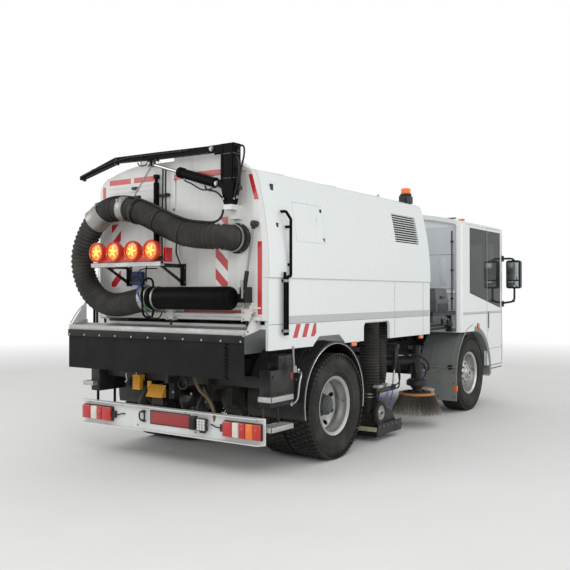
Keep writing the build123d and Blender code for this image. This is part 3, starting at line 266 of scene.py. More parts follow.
def plasticFinish(name, colour, rough=0.45, dust=0.25, dustTop=1.4):
    # moulded plastic with a fine grain
    finish = Finish(name, {"Specular IOR Level": 0.4})
    low = ((dustTop - finish.axis(2)) / dustTop).clamp()
    cloud = finish.noise(3.5, 6.0)
    speck = finish.noise(220.0, 3.0)
    mask = (finish.ramp(cloud, 0.35, 0.75) * dust * (0.3 + low)).clamp()
    tone = finish.blend(cloud, shaded(colour, 0.9), shaded(colour, 1.08))
    finish.feed("Base Color", finish.blend(mask, tone, dustColour))
    finish.feed("Roughness", (rough + mask * 0.4 + (speck - 0.5) * 0.1).clamp())
    finish.bump(speck, 0.15, 0.0006)
    return finish.material


def lensFinish(name, colour, deep, ribs=(0.0, 900.0, 900.0), glow=0.0):
    # moulded lamp lens with fine optics that read as small pillows
    finish = Finish(name, {"Coat Weight": 0.8, "Coat Roughness": 0.04, "Emission Strength": glow})
    across = (finish.axis(1) * ribs[1]).sine()
    along = (finish.axis(2) * ribs[2]).sine()
    pillow = (across * along * 0.5 + 0.5).clamp()
    cloud = finish.noise(25.0, 3.0)
    tone = finish.blend((pillow * 0.7 + cloud * 0.3).clamp(), deep, colour)
    finish.feed("Base Color", tone)
    finish.feed("Roughness", 0.16 + cloud * 0.1)
    if glow:
        finish.feed("Emission Color", tone)
    finish.bump(pillow, 0.3, 0.001)
    return finish.material


def glassWithPaintedReflection(name, colour, alpha, haze=0.12):
    # dark tinted pane, faintly dusty, with a painted reflection: lighter towards its top as if it mirrored
    # the sky, darker and more opaque low down as if it mirrored dark trees
    finish = Finish(name, {"Specular IOR Level": 0.5})
    cloud = finish.noise(2.2, 5.0)
    # painted reflection: this mask grows towards the pane's foot; at the top the tint is brightened 2.2
    # times, at the foot it is halved and the pane turns more opaque
    low = ((2.3 - finish.axis(2)) / 0.9).clamp()
    tone = finish.blend(low * 0.8, shaded(colour, 2.2), shaded(colour, 0.5))
    finish.feed("Alpha", low * (0.96 - alpha) * 0.8 + alpha)
    finish.feed("Base Color", finish.blend(finish.ramp(cloud, 0.5, 0.9) * haze, tone, dustColour))
    finish.feed("Roughness", 0.05 + cloud * 0.06)
    finish.bump(finish.noise(1.1, 1.0), 0.02, 0.01)
    return finish.material


def fabricFinish(name, colour):
    finish = Finish(name, {"Sheen Weight": 0.4, "Specular IOR Level": 0.2})
    weave = (finish.axis(0) * 1800.0).sine() * (finish.axis(2) * 1800.0).sine()
    cloud = finish.noise(12.0, 5.0)
    finish.feed("Base Color", finish.blend(cloud, shaded(colour, 0.7), colour))
    finish.feed("Roughness", 0.85 + cloud * 0.1)
    finish.bump(weave, 0.3, 0.001)
    return finish.material


def reflectorFinish(name, colour, bright):
    # retroreflective film with its honeycomb
    finish = Finish(name, {"Coat Weight": 0.6, "Coat Roughness": 0.08})
    cells = finish.add("ShaderNodeTexVoronoi", {"feature": "DISTANCE_TO_EDGE"},
        {"Vector": finish.place, "Scale": 190.0})
    cloud = finish.noise(3.0, 5.0)
    grid = finish.ramp(cells, 0.02, 0.09)
    tone = finish.blend(grid, bright, colour)
    finish.feed("Base Color", finish.blend(finish.ramp(cloud, 0.5, 0.85) * 0.2, tone, dustColour))
    finish.feed("Roughness", 0.28 + cloud * 0.15)
    return finish.material


whitePaint = paintFinish("body white", linear(231, 236, 236), 0.28, 0.3, 1.5, streaks=0.05)
cabPaint = paintFinish("cab white", linear(233, 236, 236), 0.24, 0.22, 1.2)
gatePaint = paintFinish("gate white", linear(224, 225, 222), 0.4, 0.45, 2.6, 0.2, streaks=0.2)
beamPaint = paintFinish("beam white", linear(229, 232, 231), 0.35, 0.3, 0.9, 0.25, streaks=0.08)
bulkheadGrey = paintFinish("cab rear wall grey", linear(210, 215, 220), 0.42, 0.2, 1.6, 0.1, streaks=0.06)
stripe = paintFinish("stripe grey", linear(186, 192, 190), 0.35, 0.15, 1.6, 0.3)
gloss = castFinish("gloss black", linear(10, 10, 11), 0.4, dust=0.03, depth=0.0003, shine=0.06)
seam = paintFinish("weld seam grey", linear(74, 74, 76), 0.45, 0.1, 1.2, 0.1)
satin = castFinish("satin black steel", linear(29, 29, 30), 0.45, dust=0.16, depth=0.0008)
frameBlack = castFinish("frame black", linear(35, 35, 36), 0.6, dust=0.35, dustTop=1.3)
ironDark = castFinish("axle iron", linear(48, 45, 42), 0.7, dust=0.7, dustTop=1.2)
engineIron = castFinish("engine iron", linear(70, 70, 68), 0.6, dust=0.4)
housingGrey = plasticFinish("housing grey", linear(126, 132, 129), 0.5, 0.2)
boxGrey = plasticFinish("box grey", linear(90, 93, 95), 0.5, 0.15)
trim = plasticFinish("trim black", linear(24, 24, 25), 0.42, 0.12)
fenderBlack = plasticFinish("fender black", linear(34, 36, 37), 0.36, 0.18, 1.3)
hoseRubber = rubberFinish("hose rubber", linear(46, 45, 43), 0.62, 0.3)
tyreRubber = rubberFinish("tyre rubber", linear(40, 39, 38), 0.78, 0.3)
rubberDark = rubberFinish("flap rubber", linear(17, 16, 16), 0.8, 0.04, 60.0)
flapBand = rubberFinish("flap band", linear(26, 26, 26), 0.6, 0.1, 60.0)
cord = rubberFinish("thin hose rubber", linear(26, 26, 26), 0.5, 0.15)
zinc = zincFinish("galvanised sheet")
wheelSilver = metalFinish("wheel silver", linear(196, 198, 196), 0.34, (6.0, 6.0, 6.0), 0.25)
chrome = metalFinish("polished steel", linear(205, 206, 206), 0.16, dust=0.05)
boltSteel = metalFinish("bolt steel", linear(170, 170, 168), 0.32, (8.0, 8.0, 8.0), 0.3)
cuff = metalFinish("hose cuff metal", linear(176, 174, 168), 0.38, (10.0, 1.0, 10.0), 0.45)
redFilm = reflectorFinish("red film", linear(186, 22, 30), linear(214, 48, 52))
whiteFilm = reflectorFinish("white film", linear(228, 230, 228), linear(240, 242, 240))
plateRed = paintFinish("plate red", linear(158, 22, 28), 0.3, 0.1, 1.0, 0.5)
amberLens = lensFinish("amber lens", linear(250, 150, 50), linear(232, 96, 26), glow=0.3)
amberBright = lensFinish("amber diode glow", linear(255, 226, 120), linear(252, 190, 60), glow=0.75)
lampRed = lensFinish("lamp rim red", linear(214, 66, 30), linear(168, 34, 18), glow=0.1)
amberDull = lensFinish("amber side lens", linear(240, 128, 30), linear(205, 84, 16), glow=0.1)
redLens = lensFinish("red lens", linear(206, 26, 24), linear(140, 10, 12), glow=0.12)
clearLens = lensFinish("clear lens", linear(232, 228, 218), linear(196, 190, 180), glow=0.05)
ledLens = lensFinish("work lamp lens", linear(210, 214, 214), linear(70, 72, 74), (0.0, 330.0, 330.0))
# both panes carry a painted reflection: lighter towards the top, darker and more opaque low down
tintedGlass = glassWithPaintedReflection("tinted glass", linear(30, 37, 33), 0.74, haze=0.08)
screenGlass = glassWithPaintedReflection("screen glass", linear(34, 40, 38), 0.45)
mirrorGlass = metalFinish("mirror glass", linear(196, 204, 208), 0.04, dust=0.03)
seatCloth = fabricFinish("seat cloth", linear(58, 60, 66))
dashGrey = plasticFinish("dash grey", linear(66, 68, 70), 0.6, 0.05)
chockYellow = plasticFinish("chock yellow", linear(222, 160, 34), 0.5, 0.3)
lipBeige = plasticFinish("lip beige", linear(196, 186, 158), 0.6, 0.4)
brushOrange = plasticFinish("brush ring orange", linear(196, 128, 66), 0.55, 0.35)
boxBlue = plasticFinish("box blue", linear(36, 62, 118), 0.4, 0.15)
wireBlue = plasticFinish("wire blue", linear(34, 66, 170), 0.35, 0.1)
wireGreen = plasticFinish("wire green", linear(60, 130, 74), 0.35, 0.1)
tagRed = plasticFinish("tag red", linear(190, 30, 30), 0.4, 0.1)
bristleBlue = plasticFinish("blue bristle", linear(30, 76, 150), 0.5, 0.2)
bristleGrey = plasticFinish("grey bristle", linear(112, 104, 98), 0.6, 0.35)
bristlePale = plasticFinish("pale bristle", linear(196, 190, 182), 0.6, 0.2)
drainBrown = rubberFinish("drain hose", linear(104, 86, 62), 0.55, 0.35)
hubGrey = castFinish("hub grey", linear(66, 70, 72), 0.5, dust=0.35, dustTop=1.0, depth=0.0008)
amberBeacon = lensFinish("beacon amber", linear(250, 128, 30), linear(214, 80, 14), (900.0, 900.0, 0.0),
    glow=0.25)
frit = plasticFinish("window edge black", linear(14, 15, 16), 0.15, 0.05)
chromeBowl = metalFinish("lamp bowl", linear(214, 216, 218), 0.08, dust=0.02)
mirrorShell = metalFinish("mirror shell", linear(150, 154, 158), 0.12, dust=0.04)
print("finishes ready:", len(bpy.data.materials))

nodeFinish = ((frameBlack, "chassis_frame cross_members"), (engineIron, "engine_block"),
    (cabPaint, "front_bumper cab_shell"), (ironDark, "front_axle rear_axle knuckle_left knuckle_right"),
    (fenderBlack, "rear_fenders"),
    (satin, "fuel_tank walkway side_steps suction_nozzle roller_frame brush_arm arm_bracket"), (housingGrey,
    "wheel_housings"), (boxGrey, "equipment_box"), (beamPaint, "underrun_beam"), (redLens, "tail_lamps"),
    (plateRed, "number_plate"), (chockYellow, "wheel_chocks"), (screenGlass, "windscreen"),
    (trim, "mirrors"), (tintedGlass, "quarter_glass door_glass_left door_glass_right"),
    (seatCloth, "cab_seats"), (dashGrey, "dashboard"), (clearLens, "headlamps"),
    (cabPaint, "door_left door_right"), (hoseRubber, "suction_hose wander_hose"),
    (tyreRubber, "nozzle_wheel front_tyre_left front_tyre_right rear_tyres_left rear_tyres_right"),
    (wheelSilver, "front_rim_left front_rim_right rear_rims_left rear_rims_right"), (bristleBlue,
    "roller_brush"), (bristleGrey, "side_brush"), (whitePaint, "hopper_shell"), (zinc, "chute lamp_bar"),
    (rubberDark, "rubber_flap"), (gloss, "grab_tubes gate_cylinder suction_tube mast boom ram_barrel"),
    (amberDull, "beacon"), (gatePaint, "tailgate"), (amberLens, "warning_lamps"), (chrome, "ram_rod"),)
for finish, names in nodeFinish:
    for name in names.split():
        for slot in nodes[name].material_slots:
            slot.material = finish


# Camera, floor and light
view = {"place": (-6.713, -5.205, 1.684), "heading": 34.43, "pitch": 0.63, "lens": 48.14}
cameraData = bpy.data.cameras.new("photo camera")
cameraData.lens = view["lens"]
cameraData.sensor_width = 36
cameraData.clip_end = 200
camera = bpy.data.objects.new("photo_camera", cameraData)
bpy.context.collection.objects.link(camera)
camera.location = at(*view["place"])
camera.rotation_euler = (math.radians(90 + view["pitch"]), 0, math.radians(view["heading"] - 90))
bpy.context.scene.camera = camera
bpy.context.scene.view_settings.view_transform = "Standard"

world = bpy.data.worlds.new("studio")
bpy.context.scene.world = world
world.use_nodes = True
sky = world.node_tree
background = sky.nodes["Background"]
background.inputs["Color"].default_value = (1, 1, 1, 1)
rays = sky.nodes.new("ShaderNodeLightPath")
strength = sky.nodes.new("ShaderNodeMapRange")
strength.inputs["To Min"].default_value = 0.70
strength.inputs["To Max"].default_value = 1.0
sky.links.new(rays.outputs["Is Camera Ray"], strength.inputs["Value"])
sky.links.new(strength.outputs[0], background.inputs["Strength"])

lamps = {
    # name: (from the rear axle, aimed at, size, watts)
    "key_lamp": ((-9.0, -9.0, 8.5), (1.0, -0.5, 1.2), 7.0, 400.0),
    "fill_lamp": ((-9.5, 6.5, 6.0), (0.0, 0.0, 1.4), 7.0, 300.0),
    "front_lamp": ((11.0, -15.0, 4.5), (3.5, 0.0, 1.4), 7.0, 420.0),
    "top_lamp": ((1.8, 0.0, 11.0), (1.8, 0.0, 0.0), 9.0, 40.0),
}
for name, (place, aim, size, watts) in lamps.items():
    lampData = bpy.data.lights.new(name, "AREA")
    lampData.energy = watts
    lampData.size = size
    lamp = bpy.data.objects.new(name, lampData)
    bpy.context.collection.objects.link(lamp)
    lamp.location = at(*place)
    lamp.rotation_euler = (at(*aim) - at(*place)).to_track_quat("-Z", "Y").to_euler()


def layFloor():
    # pale floor that fades out far from the truck, so that no edge shows
    bm = bmesh.new()
    bmesh.ops.create_circle(bm, cap_ends=True, radius=40.0, segments=96)
    bmesh.ops.translate(bm, vec=at(1.8, 0, 0), verts=bm.verts)
    mesh = bpy.data.meshes.new("floor")
    bm.to_mesh(mesh)
    bm.free()
    floor = bpy.data.objects.new("studio_floor", mesh)
    bpy.context.collection.objects.link(floor)
    finish = Finish("studio floor", {"Roughness": 0.9, "Specular IOR Level": 0.1})
    cloud = finish.noise(1.2, 5.0)
    finish.feed("Base Color", finish.blend(cloud, (0.80, 0.80, 0.79, 1), (0.86, 0.86, 0.85, 1)))
    away = finish.add("ShaderNodeVectorMath", {"operation": "LENGTH"}, {0: finish.place}, output=1)
    finish.feed("Alpha", (1.0 - (away - 9.0) / 9.0).clamp())
    mesh.materials.append(finish.material)


layFloor()
print("camera, light and floor ready")


# Modelling
def framed(start, end):
    # a matrix whose Z runs from start to end
    run = end - start
    return Matrix.Translation(start) @ run.to_track_quat("Z", "Y").to_matrix().to_4x4()


def smoothMesh(points, order, resolution, radius=0.0, sides=0, closed=False):
    # mesh of the smooth line through points, round if it has a radius
    curve = bpy.data.curves.new("line", "CURVE")
    curve.dimensions = "3D"
    if radius:
        curve.bevel_depth = radius
        curve.bevel_resolution = sides
        curve.use_fill_caps = not closed
    spline = curve.splines.new("NURBS")
    spline.points.add(len(points) - 1)
    for point, place in zip(spline.points, points):
        point.co = (*place, 1)
    spline.order_u = order
    spline.use_endpoint_u = not closed
    spline.use_cyclic_u = closed
    spline.resolution_u = resolution
    holder = bpy.data.objects.new("line", curve)
    bpy.context.collection.objects.link(holder)
    mesh = bpy.data.meshes.new_from_object(holder)
    bpy.data.objects.remove(holder)
    bpy.data.curves.remove(curve)
    return mesh


class Shape:
    # gathers the parts of one piece, each with its finish
    def __init__(self):
        self.bm = bmesh.new()
        self.finishes = []

    def take(self, part, finish, matrix=None):
        if finish not in self.finishes:
            self.finishes.append(finish)
        if matrix is not None:
            bmesh.ops.transform(part, matrix=matrix, verts=part.verts)
        for face in part.faces:
            face.material_index = self.finishes.index(finish)
        mesh = bpy.data.meshes.new("part")
        part.to_mesh(mesh)
        part.free()
        self.bm.from_mesh(mesh)
        bpy.data.meshes.remove(mesh)

    def slab(self, low, high, finish, bevel=0.0):
        # between two opposite corners, in any order
        part = bmesh.new()
        bmesh.ops.create_cube(part, size=1.0)
        low, high = located(low), located(high)
        size = [abs(h - l) for l, h in zip(low, high)]
        bmesh.ops.scale(part, vec=size, verts=part.verts)
        if bevel:
            bmesh.ops.bevel(part, geom=part.edges[:], offset=bevel, segments=2, profile=0.5, affect="EDGES",
                material=-1)
        self.take(part, finish, Matrix.Translation((low + high) / 2))

    def box(self, finish, bevel, *rows):
        # each row has a low and a high corner, six numbers in all
        for row in rows:
            self.slab(row[:3], row[3:], finish, bevel)

    def block(self, centre, half, finish, bevel=0.0):
        self.slab(centre - Vector(half), centre + Vector(half), finish, bevel)

    def rod(self, start, end, radius, finish, segments=16, tip=None, bevel=0.0):
        part = bmesh.new()
        start, end = located(start), located(end)
        length = (end - start).length
        bmesh.ops.create_cone(part, cap_ends=True, segments=segments, radius1=radius,
            radius2=radius if tip is None else tip, depth=length)
        bmesh.ops.translate(part, vec=(0, 0, length / 2), verts=part.verts)
        if bevel:
            rims = [e for e in part.edges if abs(e.verts[0].co.z - e.verts[1].co.z) < 1e-6
                    and all(len(f.verts) > 4 or abs(f.normal.z) < 0.9 for f in e.link_faces)]
            bmesh.ops.bevel(part, geom=rims, offset=bevel, segments=2, profile=0.5, affect="EDGES",
                material=-1)
        self.take(part, finish, framed(start, end))

    def lathe(self, profile, centre, axis, finish, steps=48, closed=False):
        # profile holds pairs of radius and place along the axis
        part = bmesh.new()
        verts = [part.verts.new((r, 0, z)) for r, z in profile]
        pairs = list(zip(verts, verts[1:]))
        if closed:
            pairs.append((verts[-1], verts[0]))
        edges = [part.edges.new(pair) for pair in pairs]
        bmesh.ops.spin(part, geom=verts + edges, cent=(0, 0, 0), axis=(0, 0, 1), angle=math.tau, steps=steps,
            use_merge=True, use_duplicate=False)
        bmesh.ops.remove_doubles(part, verts=part.verts, dist=1e-5)
        bmesh.ops.recalc_face_normals(part, faces=part.faces)
        centre = located(centre)
        self.take(part, finish, framed(centre, centre + Vector(axis)))

    def plate(self, outline, thickness, finish, bevel=0.0):
        # outline is a ring of points, thickness a vector
        part = bmesh.new()
        face = part.faces.new([part.verts.new(located(p)) for p in outline])
        made = bmesh.ops.extrude_face_region(part, geom=[face])["geom"]
        moved = [v for v in made if isinstance(v, bmesh.types.BMVert)]
        bmesh.ops.translate(part, vec=thickness, verts=moved)
        bmesh.ops.recalc_face_normals(part, faces=part.faces)
        if bevel:
            bmesh.ops.bevel(part, geom=part.edges[:], offset=bevel, segments=1, profile=0.5, affect="EDGES",
                material=-1)
        self.take(part, finish)

    def pipe(self, points, radius, finish, sides=3, order=3, closed=False):
        # round bar or thin hose along a smooth line
        mesh = smoothMesh([located(p) for p in points], order, 6, radius, sides, closed)
        part = bmesh.new()
        part.from_mesh(mesh)
        bpy.data.meshes.remove(mesh)
        bmesh.ops.recalc_face_normals(part, faces=part.faces)
        self.take(part, finish)

    def bolt(self, place, out, size, finish=None):
        # hexagon head on a washer, standing out along a direction
        place, out = located(place), Vector(out).normalized()
        finish = finish or boltSteel
        self.rod(place, place + out * size * 0.25, size * 1.15, finish, 14)
        self.rod(place + out * size * 0.25, place + out * size * 0.9, size * 0.85, finish, 6)

    def build(self, name, angle=32):
        mesh = bpy.data.meshes.new(name)
        self.bm.to_mesh(mesh)
        self.bm.free()
        for finish in self.finishes:
            mesh.materials.append(finish)
        mesh.shade_smooth()
        mesh.set_sharp_from_angle(angle=math.radians(angle))
        piece = bpy.data.objects.new(name, mesh)
        bpy.context.collection.objects.link(piece)
        return piece

    def put(self, name, body, angle=32, replace=()):
        piece = self.build(name, angle)
        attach(piece, body)
        if replace:
            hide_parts(*replace)
        return piece


def piece(name, body, angle=32, replace=()):
    # the function below it fills a shape, which becomes this piece
    def made(draw):
        shape = Shape()
        draw(shape)
        shape.put(name, body, angle, replace)
    return made


def cutFrom(piece, cutter):
    # takes one shape away from a finished piece
    hole = cutter.build("cutter")
    tool = piece.modifiers.new("cut", "BOOLEAN")
    tool.object = hole
    tool.operation = "DIFFERENCE"
    tool.solver = "EXACT"
    seenMesh = bpy.data.meshes.new_from_object(piece.evaluated_get(bpy.context.evaluated_depsgraph_get()))
    piece.modifiers.remove(tool)
    old = piece.data
    piece.data = seenMesh
    bpy.data.meshes.remove(old)
    bpy.data.objects.remove(hole)
    return piece


def routeLine(points, step):
    # evenly spaced points on the smooth line through a route
    mesh = smoothMesh([located(p) for p in points], 4, 24)
    line = [v.co.copy() for v in mesh.vertices]
    bpy.data.meshes.remove(mesh)
    lengths = [0.0]
    for a, b in zip(line, line[1:]):
        lengths.append(lengths[-1] + (b - a).length)
    count = max(2, int(lengths[-1] / step))
    evened = []
    near = 0
    for k in range(count + 1):
        want = lengths[-1] * k / count
        while near < len(line) - 2 and lengths[near + 1] < want:
            near += 1
        span = lengths[near + 1] - lengths[near]
        evened.append(line[near].lerp(line[near + 1], (want - lengths[near]) / span if span else 0))
    return evened


def ribbedHose(shape, points, radius, pitch, depth, finish, segments=28):
    # hose whose wall swells at every turn of its spiral wire
    line = routeLine(points, pitch / 4)
    part = bmesh.new()
    ring = bmesh.ops.create_circle(part, cap_ends=False, radius=1.0, segments=segments)["verts"]
    edges = list({e for v in ring for e in v.link_edges})
    last = Matrix.Identity(4)
    swell = (1.0, 0.55, 0.0, 0.55)
    before = line[1] - line[0]
    spin = before.to_track_quat("Z", "Y")
    for k, place in enumerate(line):
        ahead = line[min(k + 1, len(line) - 1)] - line[max(k - 1, 0)]
        # the ring only tips with the route and never spins round it
        spin = before.rotation_difference(ahead) @ spin
        before = ahead
        here = Matrix.Translation(place) @ spin.to_matrix().to_4x4()
        here = here @ Matrix.Scale(radius - depth * (1 - swell[k % 4]), 4)
        here[3][3] = 1.0
        if k:
            made = bmesh.ops.extrude_edge_only(part, edges=edges)["geom"]
            ring = [v for v in made if isinstance(v, bmesh.types.BMVert)]
            edges = [e for e in made if isinstance(e, bmesh.types.BMEdge)]
        bmesh.ops.transform(part, matrix=here @ last.inverted(), verts=ring)
        last = here
    bmesh.ops.holes_fill(part, edges=[e for e in part.edges if e.is_boundary], sides=segments + 1)
    bmesh.ops.recalc_face_normals(part, faces=part.faces)
    shape.take(part, finish)
    return line


# Tailgate trim
gate = {"x": -1.28, "film": 0.0012}


def gateSheet(shape, outline, finish):
    # flat film on the gate's rear face, from pairs of Y and Z
    shape.plate([(gate["x"], y, z) for y, z in outline], vec(-gate["film"], 0, 0), finish)


@piece("gate_red_strips", "gate")
def gateStrips(shape):
    bands = (
        # from Y, to Y, low Z, high Z
        (0.701, 0.399, 2.785, 2.838), (0.351, 0.054, 2.785, 2.838), (0.8, 0.757, 2.66, 2.773),
        (-0.189, -0.9, 2.78, 2.827), (-1.187, -1.235, 1.497, 2.145), (-0.315, -1.005, 1.49, 1.532),
    )
    for y0, y1, z0, z1 in bands:
        gateSheet(shape, ((y0, z0), (y1, z0), (y1, z1), (y0, z1)), redFilm)
    gateSheet(shape, ((-1.086, 2.75), (-1.153, 2.52), (-1.2, 2.52), (-1.127, 2.75)), redFilm)


def chevronColumn(shape, inner, outer, low, high, pitch):
    # white film with red bars that drop outwards
    gateSheet(shape, ((inner, low), (outer, low), (outer, high), (inner, high)), whiteFilm)
    bars = bmesh.new()
    x = axleX + gate["x"] - gate["film"] * 2.2
    drop = abs(outer - inner) * 0.95
    count = int((high - low) / pitch) + 2
    for k in range(count):
        z = low - drop + pitch * (k + 0.35)
        corners = ((inner, z + drop), (outer, z), (outer, z + pitch / 2), (inner, z + drop + pitch / 2))
        bars.faces.new([bars.verts.new((x, y, zz)) for y, zz in corners])
    for level, way in ((high, 1), (low, -1)):
        bmesh.ops.bisect_plane(bars, geom=bars.verts[:] + bars.edges[:] + bars.faces[:], plane_co=(0, 0,
            level), plane_no=(0, 0, way), clear_outer=True)
    made = bmesh.ops.extrude_face_region(bars, geom=bars.faces[:])["geom"]
    moved = [v for v in made if isinstance(v, bmesh.types.BMVert)]
    bmesh.ops.translate(bars, vec=(gate["film"], 0, 0), verts=moved)
    bmesh.ops.recalc_face_normals(bars, faces=bars.faces)
    shape.take(bars, redFilm)


@piece("gate_chevrons", "gate")
def gateChevrons(shape):
    chevronColumn(shape, -0.707, -0.85, 1.75, 2.385, 0.2)
    chevronColumn(shape, 0.536, 0.667, 1.75, 2.385, 0.2)


@piece("gate_fittings", "gate")
def gateFittings(shape):
    # strut, latches, small boxes and cables on the gate's face
    x = gate["x"]
    high, low = at(x - 0.04, -1.175, 2.3), at(x - 0.06, -1.085, 1.72)
    shape.rod(low, high, 0.011, boltSteel, 12)
    shape.rod((x, -1.175, 2.3), (x - 0.06, -1.175, 2.3), 0.03, trim, 20, bevel=0.004)
    shape.rod(high - (high - low) * 0.08, high, 0.019, trim, 14)
    shape.rod(low, low + (high - low) * 0.28, 0.02, satin, 14, bevel=0.003)
    shape.box(satin, 0.006, (x - 0.09, -1.13, 1.6, x, -1.05, 1.74))
    shape.rod((x - 0.1, -1.09, 1.64), (x - 0.1, -1.09, 1.8), 0.014, boltSteel, 12)
    shape.bolt((x - 0.09, -1.09, 1.7), aft, 0.018)
    shape.box(boxBlue, 0.01, (x - 0.055, 0.2, 1.765, x, 0.33, 1.9))
    shape.box(trim, 0.004, (x - 0.06, 0.225, 1.8, x - 0.05, 0.305, 1.86), (x - 0.03, 0.36, 2.72, x, 0.3,
        2.745))
    for y, z in ((-0.19, 2.49), (-0.19, 2.78)):
        shape.bolt((x, y, z), aft, 0.012)
    cables = (((x - 0.02, -0.25, 2.2), (x - 0.03, -0.23, 2.08), (x - 0.05, -0.3, 2), (x - 0.06, -0.33,
        1.94)), ((x - 0.02, -0.06, 2.9), (x - 0.03, -0.07, 2.7), (x - 0.02, -0.05, 2.45), (x - 0.03, -0.06,
        2.2), (x - 0.02, -0.05, 2)), ((x - 0.02, -0.1, 2.9), (x - 0.05, -0.12, 2.75), (x - 0.02, -0.1, 2.5),
        (x - 0.02, -0.12, 2.25)), ((x - 0.03, 0.02, 2.12), (x - 0.1, 0, 2.02), (x - 0.12, 0.08, 1.94),
        (x - 0.05, 0.13, 1.8)),)
    for run in cables:
        shape.pipe(run, 0.0075, cord)
    for z in (2.62, 2.4, 2.24):
        shape.box(trim, 0.004, (x - 0.03, -0.14, z, x, -0.02, z + 0.03))


# Wander hose with its cuffs, its flange on the gate and the cable that lies on it
hose = {"radius": 0.117, "pitch": 0.045, "rib": 0.014, "band": (0.275, 0.045), "cuff": (0.644, 0.085),
    "ring": 0.12, "flange": 0.13}
hoseRoute = ((-1.3, -0.974, 2.179), (-1.4, -0.974, 2.18), (-1.5, -0.965, 2.182), (-1.53, -0.85, 2.19),
    (-1.52, -0.68, 2.203), (-1.5, -0.49, 2.235), (-1.478, -0.27, 2.325), (-1.46, -0.05, 2.42), (-1.455, 0.17,
    2.497), (-1.455, 0.35, 2.517), (-1.455, 0.53, 2.512), (-1.455, 0.7, 2.43), (-1.455, 0.84, 2.26),
    (-1.455, 0.925, 2.07), (-1.455, 0.895, 1.88), (-1.455, 0.79, 1.7), (-1.455, 0.6, 1.585), (-1.455, 0.36,
    1.555), (-1.455, 0.15, 1.61), (-1.455, -0.03, 1.64))


def onHose(line, y):
    # first place where the hose crosses a station, with its direction there
    k = next(k for k in range(1, len(line) - 1) if line[k].y >= y)
    return line[k], (line[k + 1] - line[k - 1]).normalized()


def wanderHose():
    shape = Shape()
    line = ribbedHose(shape, hoseRoute, hose["radius"], hose["pitch"], hose["rib"], hoseRubber, 32)
    for (y, half), radius in ((hose["band"], 0.122), (hose["cuff"], 0.124)):
        place, way = onHose(line, y)
        profile = ((0.1, -half), (radius, -half), (radius + 0.005, -half + 0.008), (radius + 0.001,
            -half + 0.016), (radius + 0.001, half - 0.016), (radius + 0.005, half - 0.008), (radius, half),
            (0.1, half))
        shape.lathe(profile, place, way, cuff, 40)
        for edge in (-half * 0.55, half * 0.55):
            clip = place + way * edge + vec(-radius * 0.8, 0, radius * 0.62)
            shape.block(clip, (0.01, 0.012, 0.01), boltSteel, 0.002)
    foot, way = line[0], (line[3] - line[0]).normalized()
    rim = hose["flange"]
    shape.lathe(((0.1, -0.02), (rim, -0.02), (rim + 0.008, -0.014), (rim + 0.008, 0.004), (rim, 0.01),
        (0.121, 0.014), (0.121, 0.05), (0.1, 0.05)), foot, way, trim, 44)
    shape.lathe(((0.119, 0.055), (0.1245, 0.057), (0.1245, 0.075), (0.119, 0.077)), foot, way, cuff, 44,
        closed=True)
    for k in range(8):
        turn = math.tau * (k + 0.5) / 8
        shape.bolt(foot + way * 0.004 + ray(turn, "yz") * (rim + 0.001), way, 0.008)
    end, way = line[-1], (line[-1] - line[-4]).normalized()
    shape.lathe(((0.1, -0.05), (0.122, -0.05), (0.124, -0.02), (0.122, 0), (0.1, 0)), end, way, cuff, 40)
    shape.put("wander_hose_ribbed", "gate", 40, replace=("wander_hose",))
    cable = Shape()
    above = [at(-1.41, -0.9, 2.43), at(-1.47, -0.94, 2.36)]
    for y in (-0.9, -0.78, -0.6, -0.42, -0.25, -0.08, 0.08, 0.22, 0.36, 0.5, 0.62, 0.72):
        place, way = onHose(line, y)
        up = way.cross(vec(1, 0, 0))
        up = up if up.z > 0 else -up
        above.append(place + up * (hose["radius"] + 0.007) + vec(-0.02, 0, 0))
    cable.pipe(above, 0.011, cord)
    for y in (-0.55, -0.2, 0.1, 0.42):
        place, way = onHose(line, y)
        ring = ((hose["radius"] + 0.001, -0.006), (hose["radius"] + 0.004, -0.006), (hose["radius"] + 0.004,
            0.006), (hose["radius"] + 0.001, 0.006))
        cable.lathe(ring, place, way, trim, 36, closed=True)
    cable.put("hose_cable", "gate", 40)
    cradle = Shape()
    for y, z, half in ((0.62, 2.47, 0.03), (-0.3, 2.3, 0.025)):
        cradle.box(satin, 0.006, (-1.395, y - half, z - half, gate["x"], y + half, z + half))
    cradle.box(satin, 0.006, (-1.36, 0.66, 2.02, gate["x"], 0.84, 2.07))
    cradle.put("hose_cradles", "gate")
    return line


hoseLine = wanderHose()


# Hanger chain from the boom to the hose
chain = {"link": 0.03, "wire": 0.0045, "top": (-1.395, -0.03, 2.945), "foot": (-1.46, 0.14, 2.655)}


